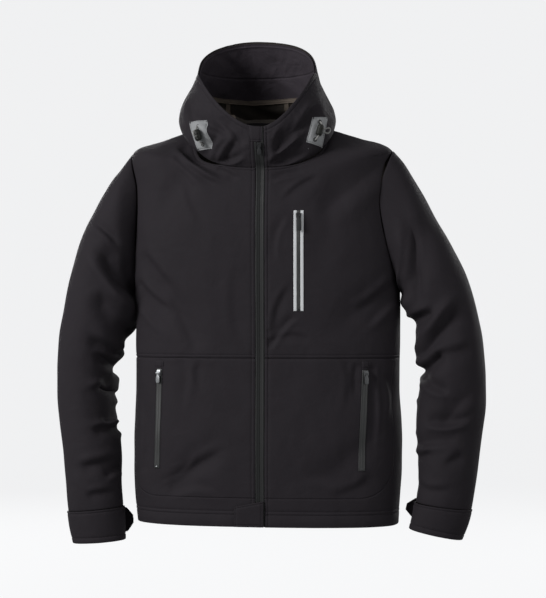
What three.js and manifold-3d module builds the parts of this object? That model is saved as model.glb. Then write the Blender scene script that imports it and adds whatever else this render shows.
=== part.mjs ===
// Hooded softshell jacket, filled out and hollow, as if on an unseen wearer.
// Millimetres, +Z up, front towards -Y, +X to the viewer's right, origin between the shoulders.
import * as THREE from 'three';
import { mergeVertices } from 'three/addons/utils/BufferGeometryUtils.js';
import Module from 'manifold-3d';

const wasm = await Module();
wasm.setup();

// Driving sizes
const SHELL = 2.0;
const CUFF_SHELL = 2.4;
const SEAM_GAP = 0.3;
const TAPE = 0.8;
const ZIP_HALF = 8;
const WAIST_ROW = 4;
const UNDERARM_ROW = 6;
const SHOULDER_ROW = 9;
const ARMHOLE_STEPS = 10;
const FACING_RING = 5.85;
const HOOD_SEAM = { right: 1.775, left: 1.715 };

// Rows of a table as objects with named columns.
const table = (names, rows) => rows.map((row) => Object.fromEntries(names.map((name, k) => [name, row[k]])));
const RING = ['name', 'side', 'front', 'back', 'width', 'fore', 'aft', 'square', 'dip', 'rear', 'lean'];
const SECTION = ['outerX', 'outerZ', 'innerX', 'innerZ', 'depth', 'middle'];
const SLEEVE_FOLD = ['ring', 'turn', 'rings', 'turns', 'depth'];

// Rings of the body from hem to neck. Heights at the side, centre front and centre back, half
// width, depths forward and back, squareness, how broadly front and back dip or rise, back's lean.
const BODY = table(RING, [
  ['hem', -721, -721, -719, 235, 95, 88, 2.6, 0, 0, 0],
  ['skirt', -650, -650, -650, 240, 97, 90, 2.6, 0, 0, 0],
  ['foot', -575, -575, -575, 242.5, 98, 91, 2.6, 0, 0, 0],
  ['pocket', -500, -500, -500, 238, 96, 90, 2.6, 0, 0, 0],
  ['waist', -426, -426, -426, 238, 94, 90, 2.6, 0, 0, 0],
  ['belly', -362, -363, -362, 239, 95, 92, 2.6, 0, 0, 0],
  ['underarm', -302, -306, -300, 240, 97, 94, 2.6, 0, 0, -2],
  ['chest', -200, -222, -196, 236, 98, 96, 2.5, 0, 0, -8],
  ['breast', -125, -165, -122, 233, 95, 95, 2.4, 0, 0, -14],
  ['shoulder', -59, -128, -62, 235, 90, 88, 2.4, 0, 0, -20],
  ['yoke', -35, -108, -30, 178, 88, 80, 2.5, 0.5, 0, -22],
  ['neck', -16, -92, -2, 118, 88, 72, 2.8, 1, 0, -24],
]);

// Rings of the hood from neck seam to brim, the back hanging as a soft bag.
const HOOD = table(RING, [
  ['neck', -12.6, -90.8, -0.6, 118, 88, 72, 2.8, 1, 0, -24],
  ['roll', -8.5, -80, 8, 136, 95, 92, 2.6, 0.8, 0, -30],
  ['swell', 2, -67, -14, 142, 100, 124, 2.4, 0.5, 0, -36],
  ['cheek', 18, -56, -58, 140, 103, 152, 2.3, 0.25, 0, -38],
  ['bag', 32, -47, -72, 134, 105, 182, 2.3, 0.1, 0, -40],
  ['rise', 46, -39, -16, 126, 106, 197, 2.3, 0, 0.35, -41],
  ['crown', 61, -31, 66, 117, 106, 178, 2.3, -0.15, 0.8, -41],
  ['brim', 77, -22, 158, 108, 105, 118, 2.4, -0.3, 0.8, -40],
]);

// Sections of each sleeve below its armhole: outer and inner edge, half depth, centre in Y.
const SLEEVE = {
  right: table(SECTION, [
    [250, -88, 244, -313, 58, 0],
    [276, -130, 246, -326, 66, 0],
    [305, -182, 249, -338, 70, -2],
    [334, -234, 253, -351, 70, -4],
    [356, -282, 262, -370, 68, -6],
    [373, -334, 266, -397, 66, -8],
    [384, -390, 268, -428, 64, -10],
    [390, -446, 274, -456, 62, -12],
    [390, -492, 271, -490, 60, -15],
    [386, -545, 268, -540, 57, -20],
    [381, -592, 270, -588, 54, -26],
    [374, -640, 273, -632, 49, -32],
    [365, -690, 270, -678, 41, -37],
  ]),
  left: table(SECTION, [
    [-269, -88, -245, -315, 58, 0],
    [-296, -123, -247, -335, 66, 0],
    [-322, -171, -248, -356, 70, -2],
    [-343, -222, -250, -379, 70, -4],
    [-359, -275, -258, -404, 68, -6],
    [-370, -330, -269, -433, 66, -8],
    [-380, -388, -277, -462, 64, -10],
    [-383, -446, -268, -490, 62, -12],
    [-381, -500, -277, -516, 60, -15],
    [-376, -552, -268, -550, 57, -20],
    [-369, -602, -263, -598, 54, -26],
    [-362, -652, -262, -646, 49, -32],
    [-356, -704, -258, -694, 41, -37],
  ]),
};

// Cuff bands, a little proud of the sleeve.
const CUFF = {
  right: table(SECTION, [
    [367, -690.3, 266, -678.3, 43, -37.5],
    [361, -715, 262, -701, 40, -39.5],
    [350, -743, 257, -724, 35, -42],
  ]),
  left: table(SECTION, [
    [-359, -704.2, -255, -694.2, 43, -37.5],
    [-355, -732, -253, -723, 40, -39.5],
    [-348, -761, -252, -753, 35, -42],
  ]),
};

// How far each armhole scoops into front and back, as a share of a quarter of the body ring.
const ARMHOLE = {
  right: { fore: 0.215, aft: 0.17 },
  left: { fore: 0.12, aft: 0.17 },
};

// Sleeve folds: ring, place round the sleeve (0 top, 0.25 front, 0.5 inner), reaches and depth.
const SLEEVE_FOLDS = {
  right: table(SLEEVE_FOLD, [
    [6.1, 0.4, 0.42, 0.16, 7],
    [7.6, 0.42, 0.4, 0.15, 8],
    [8.5, 0.46, 0.36, 0.14, 6],
    [5.0, 0.28, 0.5, 0.1, 5],
    [9.7, 0.3, 0.42, 0.12, 4],
    [7.8, 0.72, 0.5, 0.14, 6],
  ]),
  left: table(SLEEVE_FOLD, [
    [6.0, 0.38, 0.45, 0.16, 7],
    [7.5, 0.42, 0.38, 0.15, 8],
    [8.5, 0.45, 0.36, 0.15, 7],
    [4.6, 0.3, 0.5, 0.12, 5],
    [9.6, 0.32, 0.4, 0.12, 4],
    [7.8, 0.72, 0.5, 0.14, 6],
  ]),
};

// Body folds as soft troughs between two places on the front or the back.
const BODY_FOLDS = table(['face', 'x1', 'z1', 'x2', 'z2', 'reach', 'depth'], [
  ['fore', -215, -280, -120, -385, 24, 6],
  ['fore', 215, -285, 135, -375, 22, 5],
  ['fore', -120, -70, -190, -180, 20, 4],
  ['fore', 135, -110, 100, -260, 24, 4],
  ['fore', -165, -650, -75, -575, 24, 5],
  ['fore', 205, -560, 110, -640, 22, 5],
  ['aft', -190, -290, -70, -420, 28, 6],
  ['aft', 190, -290, 80, -410, 28, 6],
  ['aft', -150, -560, 120, -520, 26, 5],
]);

const lerp = (a, b, t) => a + (b - a) * t;
const clamp = (v, lo, hi) => Math.min(hi, Math.max(lo, v));

// Smooth value of one column at a fractional row.
function column(rows, key, at) {
  const last = rows.length - 1;
  const i = clamp(Math.floor(at), 0, last - 1);
  const f = at - i;
  const p1 = rows[i][key];
  const p2 = rows[i + 1][key];
  const p0 = i > 0 ? rows[i - 1][key] : 2 * p1 - p2;
  const p3 = i < last - 1 ? rows[i + 2][key] : 2 * p2 - p1;
  const m1 = (p2 - p0) / 2;
  const m2 = (p3 - p1) / 2;
  const f2 = f * f;
  const f3 = f2 * f;
  return (2 * f3 - 3 * f2 + 1) * p1 + (f3 - 2 * f2 + f) * m1 + (3 * f2 - 2 * f3) * p2 + (f3 - f2) * m2;
}

function rowAt(rows, at) {
  const row = {};
  for (const key of Object.keys(rows[0])) {
    if (key !== 'name') row[key] = column(rows, key, at);
  }
  return row;
}

// A quarter of a squarish oval, walked evenly from its middle (0) to its side (1).
const QUARTER_STEPS = 40;
const DIP_POWER = 2.6;
function quarter(width, depth, square, share) {
  const point = (k) => {
    const angle = (k / QUARTER_STEPS) * (Math.PI / 2);
    const power = 2 / square;
    return [width * Math.sin(angle) ** power, depth * Math.max(0, Math.cos(angle)) ** power];
  };
  const lengths = [0];
  const points = [point(0)];
  for (let k = 1; k <= QUARTER_STEPS; k++) {
    points.push(point(k));
    const step = Math.hypot(points[k][0] - points[k - 1][0], points[k][1] - points[k - 1][1]);
    lengths.push(lengths[k - 1] + step);
  }
  const want = clamp(share, 0, 1) * lengths[QUARTER_STEPS];
  let k = 1;
  while (k < QUARTER_STEPS && lengths[k] < want) k++;
  const f = (want - lengths[k - 1]) / (lengths[k] - lengths[k - 1]);
  return [lerp(points[k - 1][0], points[k][0], f), lerp(points[k - 1][1], points[k][1], f)];
}

// Share of a quarter ring that a width beside the centre front takes.
function shareOf(row, width) {
  const [edge, depth] = quarter(row.width, row.fore, row.square, 0.1);
  return (0.1 * width) / Math.hypot(edge, row.fore - depth);
}

// A place on a ring: 0 centre front, 1 the right side, 2 centre back, 3 or -1 the left side.
function ringPoint(row, around) {
  const s = around > 2 ? around - 4 : around;
  const hand = s < 0 ? -1 : 1;
  const q = Math.abs(s);
  const isFront = q <= 1;
  const [x, y] = quarter(row.width, isFront ? row.fore : row.aft, row.square, isFront ? q : 2 - q);
  const even = Math.cos((q * Math.PI) / 2) ** 2;
  const broad = 1 - (isFront ? q : 2 - q) ** DIP_POWER;
  const weight = lerp(even, broad, isFront ? row.dip : row.rear);
  const end = isFront ? row.front : row.back;
  return new THREE.Vector3(hand * x + (row.lean * q) / 2, isFront ? -y : y, lerp(row.side, end, weight));
}

const bodySmooth = (s, t) => ringPoint(rowAt(BODY, t), s);
const hoodSurface = (s, t) => ringPoint(rowAt(HOOD, t), s);

function normalOf(surface, u, v, out = 1, stepU = 1e-3) {
  const step = 1e-3;
  const du = surface(u + stepU, v).sub(surface(u - stepU, v));
  const dv = surface(u, v + step).sub(surface(u, v - step));
  return du.cross(dv).normalize().multiplyScalar(out);
}

function foldDepth(folds, x, y, z) {
  let total = 0;
  for (const fold of folds) {
    if ((fold.face === 'fore') !== (y < 0)) continue;
    const dx = fold.x2 - fold.x1;
    const dz = fold.z2 - fold.z1;
    const along = ((x - fold.x1) * dx + (z - fold.z1) * dz) / (dx * dx + dz * dz);
    const near = clamp(along, 0, 1);
    const away = Math.hypot(x - fold.x1 - near * dx, z - fold.z1 - near * dz) / fold.reach;
    total += fold.depth * Math.exp(-away * away) * (0.4 + 0.6 * Math.sin(Math.PI * near));
  }
  return total;
}

function bodySurface(s, t) {
  const p = bodySmooth(s, t);
  const depth = foldDepth(BODY_FOLDS, p.x, p.y, p.z);
  return depth > 0.02 ? p.addScaledVector(normalOf(bodySmooth, s, t), -depth) : p;
}

// The place on a surface that lies at x and z in the front view.
function spot(surface, x, z, startS, startT) {
  let s = startS;
  let t = startT;
  for (let k = 0; k < 30; k++) {
    const step = 1e-3;
    const p = surface(s, t);
    const ps = surface(s + step, t).sub(p).divideScalar(step);
    const pt = surface(s, t + step).sub(p).divideScalar(step);
    const ex = x - p.x;
    const ez = z - p.z;
    const det = ps.x * pt.z - pt.x * ps.z;
    s += clamp((ex * pt.z - pt.x * ez) / det, -0.2, 0.2);
    t += clamp((ps.x * ez - ex * ps.z) / det, -0.8, 0.8);
  }
  return { s, t };
}

function meshFrom(points, faces) {
  const geometry = new THREE.BufferGeometry();
  const values = points.flatMap((p) => [p.x, p.y, p.z]);
  geometry.setAttribute('position', new THREE.Float32BufferAttribute(values, 3));
  geometry.setIndex(faces);
  geometry.computeVertexNormals();
  return geometry;
}

// A closed cloth wall over a grid: outer points, inner points one thickness in, and rims.
function wall(surface, us, vs, { thickness = SHELL, lift = 0, out = 1, round = false, normal } = {}) {
  const nu = us.length;
  const nv = vs.length;
  const outer = [];
  const inner = [];
  for (let j = 0; j < nv; j++) {
    for (let i = 0; i < nu; i++) {
      const [u, v] = [us[i], vs[j]];
      const p = surface(u, v);
      const n = normal ? normal(u, v) : normalOf(surface, u, v, out);
      outer.push(p.clone().addScaledVector(n, lift));
      inner.push(p.clone().addScaledVector(n, lift - thickness));
    }
  }
  const base = outer.length;
  const faces = [];
  const quad = (a, b, c, d) => {
    if (out > 0) faces.push(a, b, c, a, c, d);
    else faces.push(a, c, b, a, d, c);
  };
  const at = (i, j) => j * nu + (i % nu);
  const spans = round ? nu : nu - 1;
  for (let j = 0; j < nv - 1; j++) {
    for (let i = 0; i < spans; i++) {
      quad(at(i, j), at(i + 1, j), at(i + 1, j + 1), at(i, j + 1));
      quad(base + at(i, j), base + at(i, j + 1), base + at(i + 1, j + 1), base + at(i + 1, j));
    }
  }
  for (let i = 0; i < spans; i++) {
    quad(at(i, 0), base + at(i, 0), base + at(i + 1, 0), at(i + 1, 0));
    quad(at(i, nv - 1), at(i + 1, nv - 1), base + at(i + 1, nv - 1), base + at(i, nv - 1));
  }
  if (!round) {
    for (let j = 0; j < nv - 1; j++) {
      quad(at(0, j), at(0, j + 1), base + at(0, j + 1), base + at(0, j));
      quad(at(nu - 1, j), base + at(nu - 1, j), base + at(nu - 1, j + 1), at(nu - 1, j + 1));
    }
  }
  return meshFrom([...outer, ...inner], faces);
}

const steps = (from, to, count) => Array.from({ length: count + 1 }, (_, k) => lerp(from, to, k / count));

// Colours and finishes
const finish = (color, roughness, metalness = 0) =>
  new THREE.MeshStandardMaterial({ color, roughness, metalness });
const shellCloth = finish(0x15171b, 0.85);
const trimCloth = finish(0x3b3935, 0.8);
const patchCloth = finish(0xa9abae, 0.7);
const coatedTape = finish(0x2c3130, 0.4);
const reflective = finish(0x8c9094, 0.45);
const hardware = finish(0x2a2d2f, 0.45, 0.3);
const brightHardware = finish(0x9a9c9e, 0.35, 0.8);
const lockPlastic = finish(0x1d1f1a, 0.5);
const cordFinish = finish(0x9b9b98, 0.8);

const jacket = new THREE.Group();

function add(name, geometry, material) {
  const mesh = new THREE.Mesh(geometry, material);
  mesh.name = name;
  jacket.add(mesh);
}

// Body panels
const quarterLength = 290;
const hairline = SEAM_GAP / quarterLength;
const tauAt = (k) => (1 - Math.cos((Math.PI * k) / ARMHOLE_STEPS)) / 2;
const scoopAt = (t) => {
  const tau = clamp((t - UNDERARM_ROW) / (SHOULDER_ROW - UNDERARM_ROW), 0, 1);
  return Math.sqrt(Math.max(0, 1 - (2 * tau - 1) ** 2));
};
const armholeRows = Array.from({ length: ARMHOLE_STEPS - 1 }, (_, k) =>
  lerp(UNDERARM_ROW, SHOULDER_ROW, tauAt(k + 1)));
const NECK_ROW = BODY.length - 1;
const upperRows = [
  ...steps(WAIST_ROW + 0.003, UNDERARM_ROW, 5),
  ...armholeRows,
  ...steps(SHOULDER_ROW, NECK_ROW - 0.008, 4),
];
const lowerRows = steps(0, WAIST_ROW - 0.003, 8);
const backRows = [...steps(0, UNDERARM_ROW, 9), ...upperRows.slice(6)];

// A panel whose edges follow the armholes: share 0 to 1 runs between its two edges. Its normals
// reach across its seams, so that neighbours meet edge to edge.
const SEAM_REACH = 0.03;
function addPanel(name, edgeA, edgeB, shares, rows) {
  const around = (share, t) => lerp(edgeA(t), edgeB(t), share);
  const normal = (share, t) => normalOf(bodySurface, around(share, t), t, 1, SEAM_REACH);
  add(name, wall((share, t) => bodySurface(around(share, t), t), shares, rows, { normal }), shellCloth);
}

const edges = {
  right: (t) => 1 - ARMHOLE.right.fore * scoopAt(t) - hairline,
  left: (t) => -1 + ARMHOLE.left.fore * scoopAt(t) + hairline,
  backRight: (t) => 1 + ARMHOLE.right.aft * scoopAt(t) + hairline,
  backLeft: (t) => 3 - ARMHOLE.left.aft * scoopAt(t) - hairline,
};
const columns = steps(0, 1, 10);
const backColumns = steps(0, 1, 16);
const zipRight = (t) => shareOf(rowAt(BODY, t), ZIP_HALF + SEAM_GAP);
const zipLeft = (t) => -zipRight(t);
addPanel('front_upper_right', zipRight, edges.right, columns, upperRows);
addPanel('front_upper_left', edges.left, zipLeft, columns, upperRows);
addPanel('front_lower_right', zipRight, edges.right, columns, lowerRows);
addPanel('front_lower_left', edges.left, zipLeft, columns, lowerRows);
addPanel('back', edges.backRight, edges.backLeft, backColumns, backRows);

// Sleeves and cuffs
const TURNS = Array.from({ length: 2 * ARMHOLE_STEPS }, (_, k) => k / (2 * ARMHOLE_STEPS));

function armholePoint(side, turn) {
  const hand = side === 'right' ? 1 : -1;
  const front = turn <= 0.5;
  const tau = (1 + Math.cos(2 * Math.PI * turn)) / 2;
  const t = lerp(UNDERARM_ROW, SHOULDER_ROW, tau);
  const scoop = Math.abs(Math.sin(2 * Math.PI * turn));
  const s = front ? hand * (1 - ARMHOLE[side].fore * scoop) : hand * (1 + ARMHOLE[side].aft * scoop);
  const p = bodySurface(s, t);
  return p.add(new THREE.Vector3(hand * 1.1, 0, 0));
}

function sectionPoint(row, turn) {
  const angle = 2 * Math.PI * turn;
  return new THREE.Vector3(
    lerp(row.innerX, row.outerX, (1 + Math.cos(angle)) / 2),
    row.middle - row.depth * Math.sin(angle),
    lerp(row.innerZ, row.outerZ, (1 + Math.cos(angle)) / 2),
  );
}

function sleeveSmooth(side) {
  const rows = SLEEVE[side];
  return (turn, ring) => {
    const wrapped = ((turn % 1) + 1) % 1;
    const control = (k) => (k <= 0 ? armholePoint(side, wrapped) : sectionPoint(rows[k - 1], wrapped));
    const last = rows.length;
    const i = clamp(Math.floor(ring), 0, last - 1);
    const f = ring - i;
    const p1 = control(i);
    const p2 = control(i + 1);
    const p0 = i > 0 ? control(i - 1) : p1.clone().multiplyScalar(2).sub(p2);
    const p3 = i < last - 1 ? control(i + 2) : p2.clone().multiplyScalar(2).sub(p1);
    const m1 = p2.clone().sub(p0).multiplyScalar(0.5);
    const m2 = p3.clone().sub(p1).multiplyScalar(0.5);
    const f2 = f * f;
    const f3 = f2 * f;
    return p1.multiplyScalar(2 * f3 - 3 * f2 + 1)
      .addScaledVector(m1, f3 - 2 * f2 + f)
      .addScaledVector(p2, 3 * f2 - 2 * f3)
      .addScaledVector(m2, f3 - f2);
  };
}

function sleeveSurface(side) {
  const smooth = sleeveSmooth(side);
  const out = side === 'right' ? 1 : -1;
  return (turn, ring) => {
    const p = smooth(turn, ring);
    let depth = 0;
    for (const fold of SLEEVE_FOLDS[side]) {
      const gap = Math.abs(((turn - fold.turn + 1.5) % 1) - 0.5) / fold.turns;
      const away = (ring - fold.ring) / fold.rings;
      depth += fold.depth * Math.exp(-gap * gap - away * away);
    }
    return depth > 0.02 ? p.addScaledVector(normalOf(smooth, turn, ring, out), -depth) : p;
  };
}

const cuffSurface = (side) => (turn, ring) => sectionPoint(rowAt(CUFF[side], ring), turn);
const SLEEVE_RINGS = steps(0, SLEEVE.right.length, 23);

for (const side of ['right', 'left']) {
  const out = side === 'right' ? 1 : -1;
  add(`sleeve_${side}`, wall(sleeveSurface(side), TURNS, SLEEVE_RINGS, { out, round: true }), shellCloth);
  add(`cuff_${side}`, wall(cuffSurface(side), TURNS, steps(0.02, 2, 3),
    { out, round: true, thickness: CUFF_SHELL }), shellCloth);
}

// Cuff straps: each hugs the back of its cuff, then runs straight past the inner side to a point.
const STRAP = { from: 0.9, leave: 0.7, tipHeight: 0.32, shoulder: 0.72, thick: 1.5, gap: 0.5 };
const STRAP_ON = {
  right: { top: -0.12, foot: 1.3, reach: 50 },
  left: { top: 0.2, foot: 1.65, reach: 46 },
};

function strapSurface(side) {
  const cuff = cuffSurface(side);
  const out = side === 'right' ? 1 : -1;
  return (along, across) => {
    const hug = clamp(along, 0, 1);
    const past = Math.max(0, along - 1);
    const narrowing = Math.max(0, (past - STRAP.shoulder) / (1 - STRAP.shoulder));
    const taper = lerp(1, STRAP.tipHeight, narrowing);
    const ring = lerp(STRAP_ON[side].top, STRAP_ON[side].foot, 0.5 + (across - 0.5) * taper);
    const turn = lerp(STRAP.from, STRAP.leave, hug);
    const p = cuff(turn, ring);
    const tangent = cuff(turn - 1e-3, ring).sub(cuff(turn + 1e-3, ring)).normalize();
    p.addScaledVector(normalOf(cuff, turn, ring, out), STRAP.thick + STRAP.gap);
    return p.addScaledVector(tangent, past * STRAP_ON[side].reach);
  };
}

for (const side of ['right', 'left']) {
  const strap = strapSurface(side);
  const alongs = [...steps(0, 1, 4), 1.36, 1.72, 1.86, 2];
  const out = side === 'right' ? -1 : 1;
  add(`cuff_tab_${side}`, wall(strap, alongs, steps(0, 1, 2), { out, thickness: STRAP.thick }), shellCloth);
}

// Hood of two sides and a centre panel
const HOOD_TOP = HOOD.length - 1;
const hoodRows = steps(0, HOOD_TOP, 19);
const hoodHair = SEAM_GAP / 240;
const hoodEdge = (t) => shareOf(rowAt(HOOD, t), ZIP_HALF + SEAM_GAP);
const hoodSide = (share, t) => hoodSurface(lerp(hoodEdge(t), HOOD_SEAM.right - hoodHair, share), t);
const hoodLeftSeam = 4 - HOOD_SEAM.left;
const hoodSideLeft = (share, t) =>
  hoodSurface(lerp(hoodLeftSeam + hoodHair, 4 - hoodEdge(t), share), t);
const HOOD_COLUMNS = 16;
add('hood_side_right', wall(hoodSide, steps(0, 1, HOOD_COLUMNS), hoodRows), shellCloth);
add('hood_side_left', wall(hoodSideLeft, steps(0, 1, HOOD_COLUMNS), hoodRows), shellCloth);
const centreColumns = steps(HOOD_SEAM.right + hoodHair, hoodLeftSeam - hoodHair, 7);
add('hood_centre', wall(hoodSurface, centreColumns, hoodRows), shellCloth);

// Brim facing inside the hood with its bound lower edge, and the taped inside seams
const spread = (s, t) => {
  const step = 1e-3;
  return hoodSurface(s, t + step).sub(hoodSurface(s, t - step)).length() / (2 * step);
};
const facing = (s, share) => hoodSurface(s, lerp(FACING_RING, HOOD_TOP - 0.02, share));
const FACING_COLUMNS = steps(1.02, 2.98, 16);
const faceDepth = SHELL + 1.3;
const facingWall = { thickness: TAPE, lift: -faceDepth };
add('hood_facing', wall(facing, FACING_COLUMNS, steps(0, 1, 4), facingWall), shellCloth);

const TAPE_HALF = 4.2;
const binding = (s, across) =>
  hoodSurface(s, FACING_RING + (across * TAPE_HALF) / spread(s, FACING_RING));
add('hood_facing_tape', wall(binding, FACING_COLUMNS, steps(-1, 1, 1),
  { thickness: TAPE, lift: -faceDepth - TAPE - 2 * SEAM_GAP }), trimCloth);

for (const side of ['right', 'left']) {
  const seam = side === 'right' ? HOOD_SEAM.right : hoodLeftSeam;
  const widthShare = 4.6 / 240;
  const top = FACING_RING - (TAPE_HALF + 1) / spread(seam, FACING_RING);
  const rows = [...hoodRows.filter((t) => t > 0.3 && t < top - 0.1), top];
  const across = steps(seam - widthShare, seam + widthShare, 2);
  add(`hood_seam_tape_${side}`, wall(hoodSurface, across, rows, facingWall), trimCloth);
}

// Boolean joining and cutting of small hardware
function solid(geometry) {
  const plain = geometry.clone();
  for (const key of Object.keys(plain.attributes)) {
    if (key !== 'position') plain.deleteAttribute(key);
  }
  const merged = mergeVertices(plain, 1e-4);
  return new wasm.Manifold(new wasm.Mesh({
    numProp: 3,
    vertProperties: new Float32Array(merged.attributes.position.array),
    triVerts: new Uint32Array(merged.index.array),
  }));
}

function fromSolid(body) {
  const mesh = body.getMesh();
  const geometry = new THREE.BufferGeometry();
  geometry.setAttribute('position', new THREE.BufferAttribute(new Float32Array(mesh.vertProperties), 3));
  geometry.setIndex(new THREE.BufferAttribute(new Uint32Array(mesh.triVerts), 1));
  geometry.computeVertexNormals();
  return geometry;
}

// A local frame on a surface: x across, y inwards, z up along the zip.
function seat(surface, place, lift, out = 1) {
  const p = surface(place.s, place.t);
  const n = normalOf(surface, place.s, place.t, out);
  const up = surface(place.s, place.t + 1e-3).sub(p).normalize();
  up.addScaledVector(n, -up.dot(n)).normalize();
  const across = new THREE.Vector3().crossVectors(n.clone().negate(), up).normalize();
  const basis = new THREE.Matrix4().makeBasis(across, n.clone().negate(), up);
  return basis.setPosition(p.addScaledVector(n, lift));
}

// Flat outline in x and z, as thick as given, its outer face towards -y.
function plate(outline, thickness, outerY) {
  const shape = new THREE.Shape(outline.map(([x, z]) => new THREE.Vector2(x, z)));
  const geometry = new THREE.ExtrudeGeometry(shape, { depth: thickness, bevelEnabled: false });
  geometry.rotateX(Math.PI / 2);
  return geometry.translate(0, outerY + thickness, 0);
}

function bar(radius, length, y, z) {
  const geometry = new THREE.CylinderGeometry(radius, radius, length, 12);
  geometry.rotateZ(Math.PI / 2);
  return geometry.translate(0, y, z);
}

const SLIDER = { width: 9.5, foot: 7, height: 12, thick: 3, lug: 1.4, lugGap: 4.4, axis: 4.4, lugTop: 5.6 };
const ROOTED = 0.6;

// A zip slider: tapered body and two lugs that carry the pull's barrel.
function sliderShape(scale) {
  const w = (SLIDER.width / 2) * scale;
  const f = (SLIDER.foot / 2) * scale;
  const h = (SLIDER.height / 2) * scale;
  const outline = [[-f, -h], [f, -h], [w, h * 0.6], [w * 0.7, h], [-w * 0.7, h], [-w, h * 0.6]];
  let body = solid(plate(outline, SLIDER.thick, -SLIDER.thick));
  for (const hand of [-1, 1]) {
    const foot = SLIDER.thick - ROOTED;
    const lug = new THREE.BoxGeometry(SLIDER.lug, SLIDER.lugTop - foot, 3.6);
    lug.translate((hand * (SLIDER.lugGap + SLIDER.lug)) / 2, -(foot + SLIDER.lugTop) / 2, 0);
    body = body.add(solid(lug));
  }
  return fromSolid(body);
}

// A pull tab: barrel between the lugs and a plate that hangs below it.
function pullShape(width, length, thick) {
  const half = width / 2;
  const neck = SLIDER.lugGap / 2 - SEAM_GAP;
  const outline = [
    [-neck, 0], [-neck, -4.6], [-half, -6.4], [-half, -length + 1.2], [-half + 1.2, -length],
    [half - 1.2, -length], [half, -length + 1.2], [half, -6.4], [neck, -4.6], [neck, 0],
  ];
  const tab = solid(plate(outline.reverse(), thick, -SLIDER.axis - thick / 2));
  return fromSolid(tab.add(solid(bar(1.1, 2 * neck, -SLIDER.axis, 0))));
}

function place(name, geometry, matrix, material) {
  add(name, geometry.clone().applyMatrix4(matrix), material);
}

// Main zip: two coated tapes from hem to the top of the collar, slider, pull and garage
function mainTape(x, w) {
  const onBody = w <= 1;
  const at = onBody ? w * NECK_ROW : (w - 1) * HOOD_TOP;
  const share = shareOf(rowAt(onBody ? BODY : HOOD, at), Math.abs(x)) * Math.sign(x);
  return onBody ? bodySurface(share, at) : hoodSurface(share, at);
}
const stripRows = [...steps(0, 1, 18), ...steps(1.001, 2, 6).slice(1)];
for (const [side, from, to] of [['right', 0.2, ZIP_HALF], ['left', -ZIP_HALF, -0.2]]) {
  const normal = (x, w) => normalOf(mainTape, x, w, 1, 1);
  const strip = wall(mainTape, [from, to], stripRows, { thickness: 1.2, lift: -0.8, normal });
  add(`main_zip_tape_${side}`, strip, coatedTape);
}

const mainSlot = { s: 0, t: 3.1 };
const mainSeat = seat(hoodSurface, mainSlot, -0.5);
place('main_zip_slider', sliderShape(0.95), mainSeat, hardware);
place('main_zip_pull', pullShape(7, 15, 1.6), mainSeat, brightHardware);

const garage = (share, w) => {
  const narrowing = 1 - 0.25 * (1 - w);
  return hoodSurface(lerp(-0.105, 0.035, share) * narrowing, lerp(3.9, HOOD_TOP, w));
};
const garageWall = wall(garage, steps(0, 1, 4), steps(0, 1, 4), { thickness: 1.2, lift: 1.5 });
add('main_zip_garage', garageWall, shellCloth);

// What lies on a panel follows that panel's own facets, moved out along the smooth normal.
const cell = (list, value) => {
  let i = 0;
  while (i < list.length - 2 && list[i + 1] <= value) i++;
  return [i, (value - list[i]) / (list[i + 1] - list[i])];
};

function faceted(surface, shareAt, around, shares, rows) {
  return (s, t) => {
    const [j, g] = cell(rows, t);
    const [i, f] = cell(shares, shareAt(s, t));
    const corner = (a, b) => surface(around(shares[i + a], rows[j + b]), rows[j + b]);
    return corner(0, 0).lerp(corner(1, 0), f).lerp(corner(0, 1).lerp(corner(1, 1), f), g);
  };
}

const frontRows = [...lowerRows.slice(0, -1), ...upperRows];
function frontFacets(edgeA, edgeB) {
  const shareAt = (s, t) => (s - edgeA(t)) / (edgeB(t) - edgeA(t));
  return faceted(bodySurface, shareAt, (share, t) => lerp(edgeA(t), edgeB(t), share), columns, frontRows);
}

const facetsRight = frontFacets(zipRight, edges.right);
const facetsLeft = frontFacets(edges.left, zipLeft);

function patchOn(facets, smooth, where, us, vs, thickness, out = 1) {
  const surface = (u, v) => {
    const at = where(u, v);
    return facets(at.s, at.t);
  };
  const normal = (u, v) => {
    const at = where(u, v);
    return normalOf(smooth, at.s, at.t);
  };
  return wall(surface, us, vs, { thickness, lift: thickness + 3 * SEAM_GAP, normal, out });
}

// Chest pocket zip: two welt strips, a coated tape between, slider, pull and stop
const CHEST = { x: 68, top: -168, foot: -343, welt: 5, tape: 7 };
const bodySpot = (x, z) => spot(bodySurface, x, z, clamp(x / 250, -0.95, 0.95), 4 + (z + 426) / 65);

function addStrip(name, line, centre, width, rows, material) {
  const where = (across, along) => {
    const x = lerp(line.footX, line.topX, along) + centre + across * width;
    return bodySpot(x, lerp(line.foot, line.top, along));
  };
  const facets = line.topX > 0 ? facetsRight : facetsLeft;
  add(name, patchOn(facets, bodySmooth, where, [-0.5, 0.5], steps(0, 1, rows), TAPE), material);
}

const weltShift = (CHEST.tape + CHEST.welt) / 2;
const chestLine = { topX: CHEST.x, footX: CHEST.x, top: CHEST.top, foot: CHEST.foot };
addStrip('chest_zip_welt_right', chestLine, weltShift, CHEST.welt, 12, reflective);
addStrip('chest_zip_welt_left', chestLine, -weltShift, CHEST.welt, 12, reflective);
addStrip('chest_zip_tape', chestLine, 0, CHEST.tape - 2 * SEAM_GAP, 12, coatedTape);
const chestSeat = seat(bodySurface, bodySpot(CHEST.x, CHEST.top - 10), TAPE + 5 * SEAM_GAP);
place('chest_zip_slider', sliderShape(1), chestSeat, hardware);
place('chest_zip_pull', pullShape(8.5, 26, 2), chestSeat, hardware);

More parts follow.
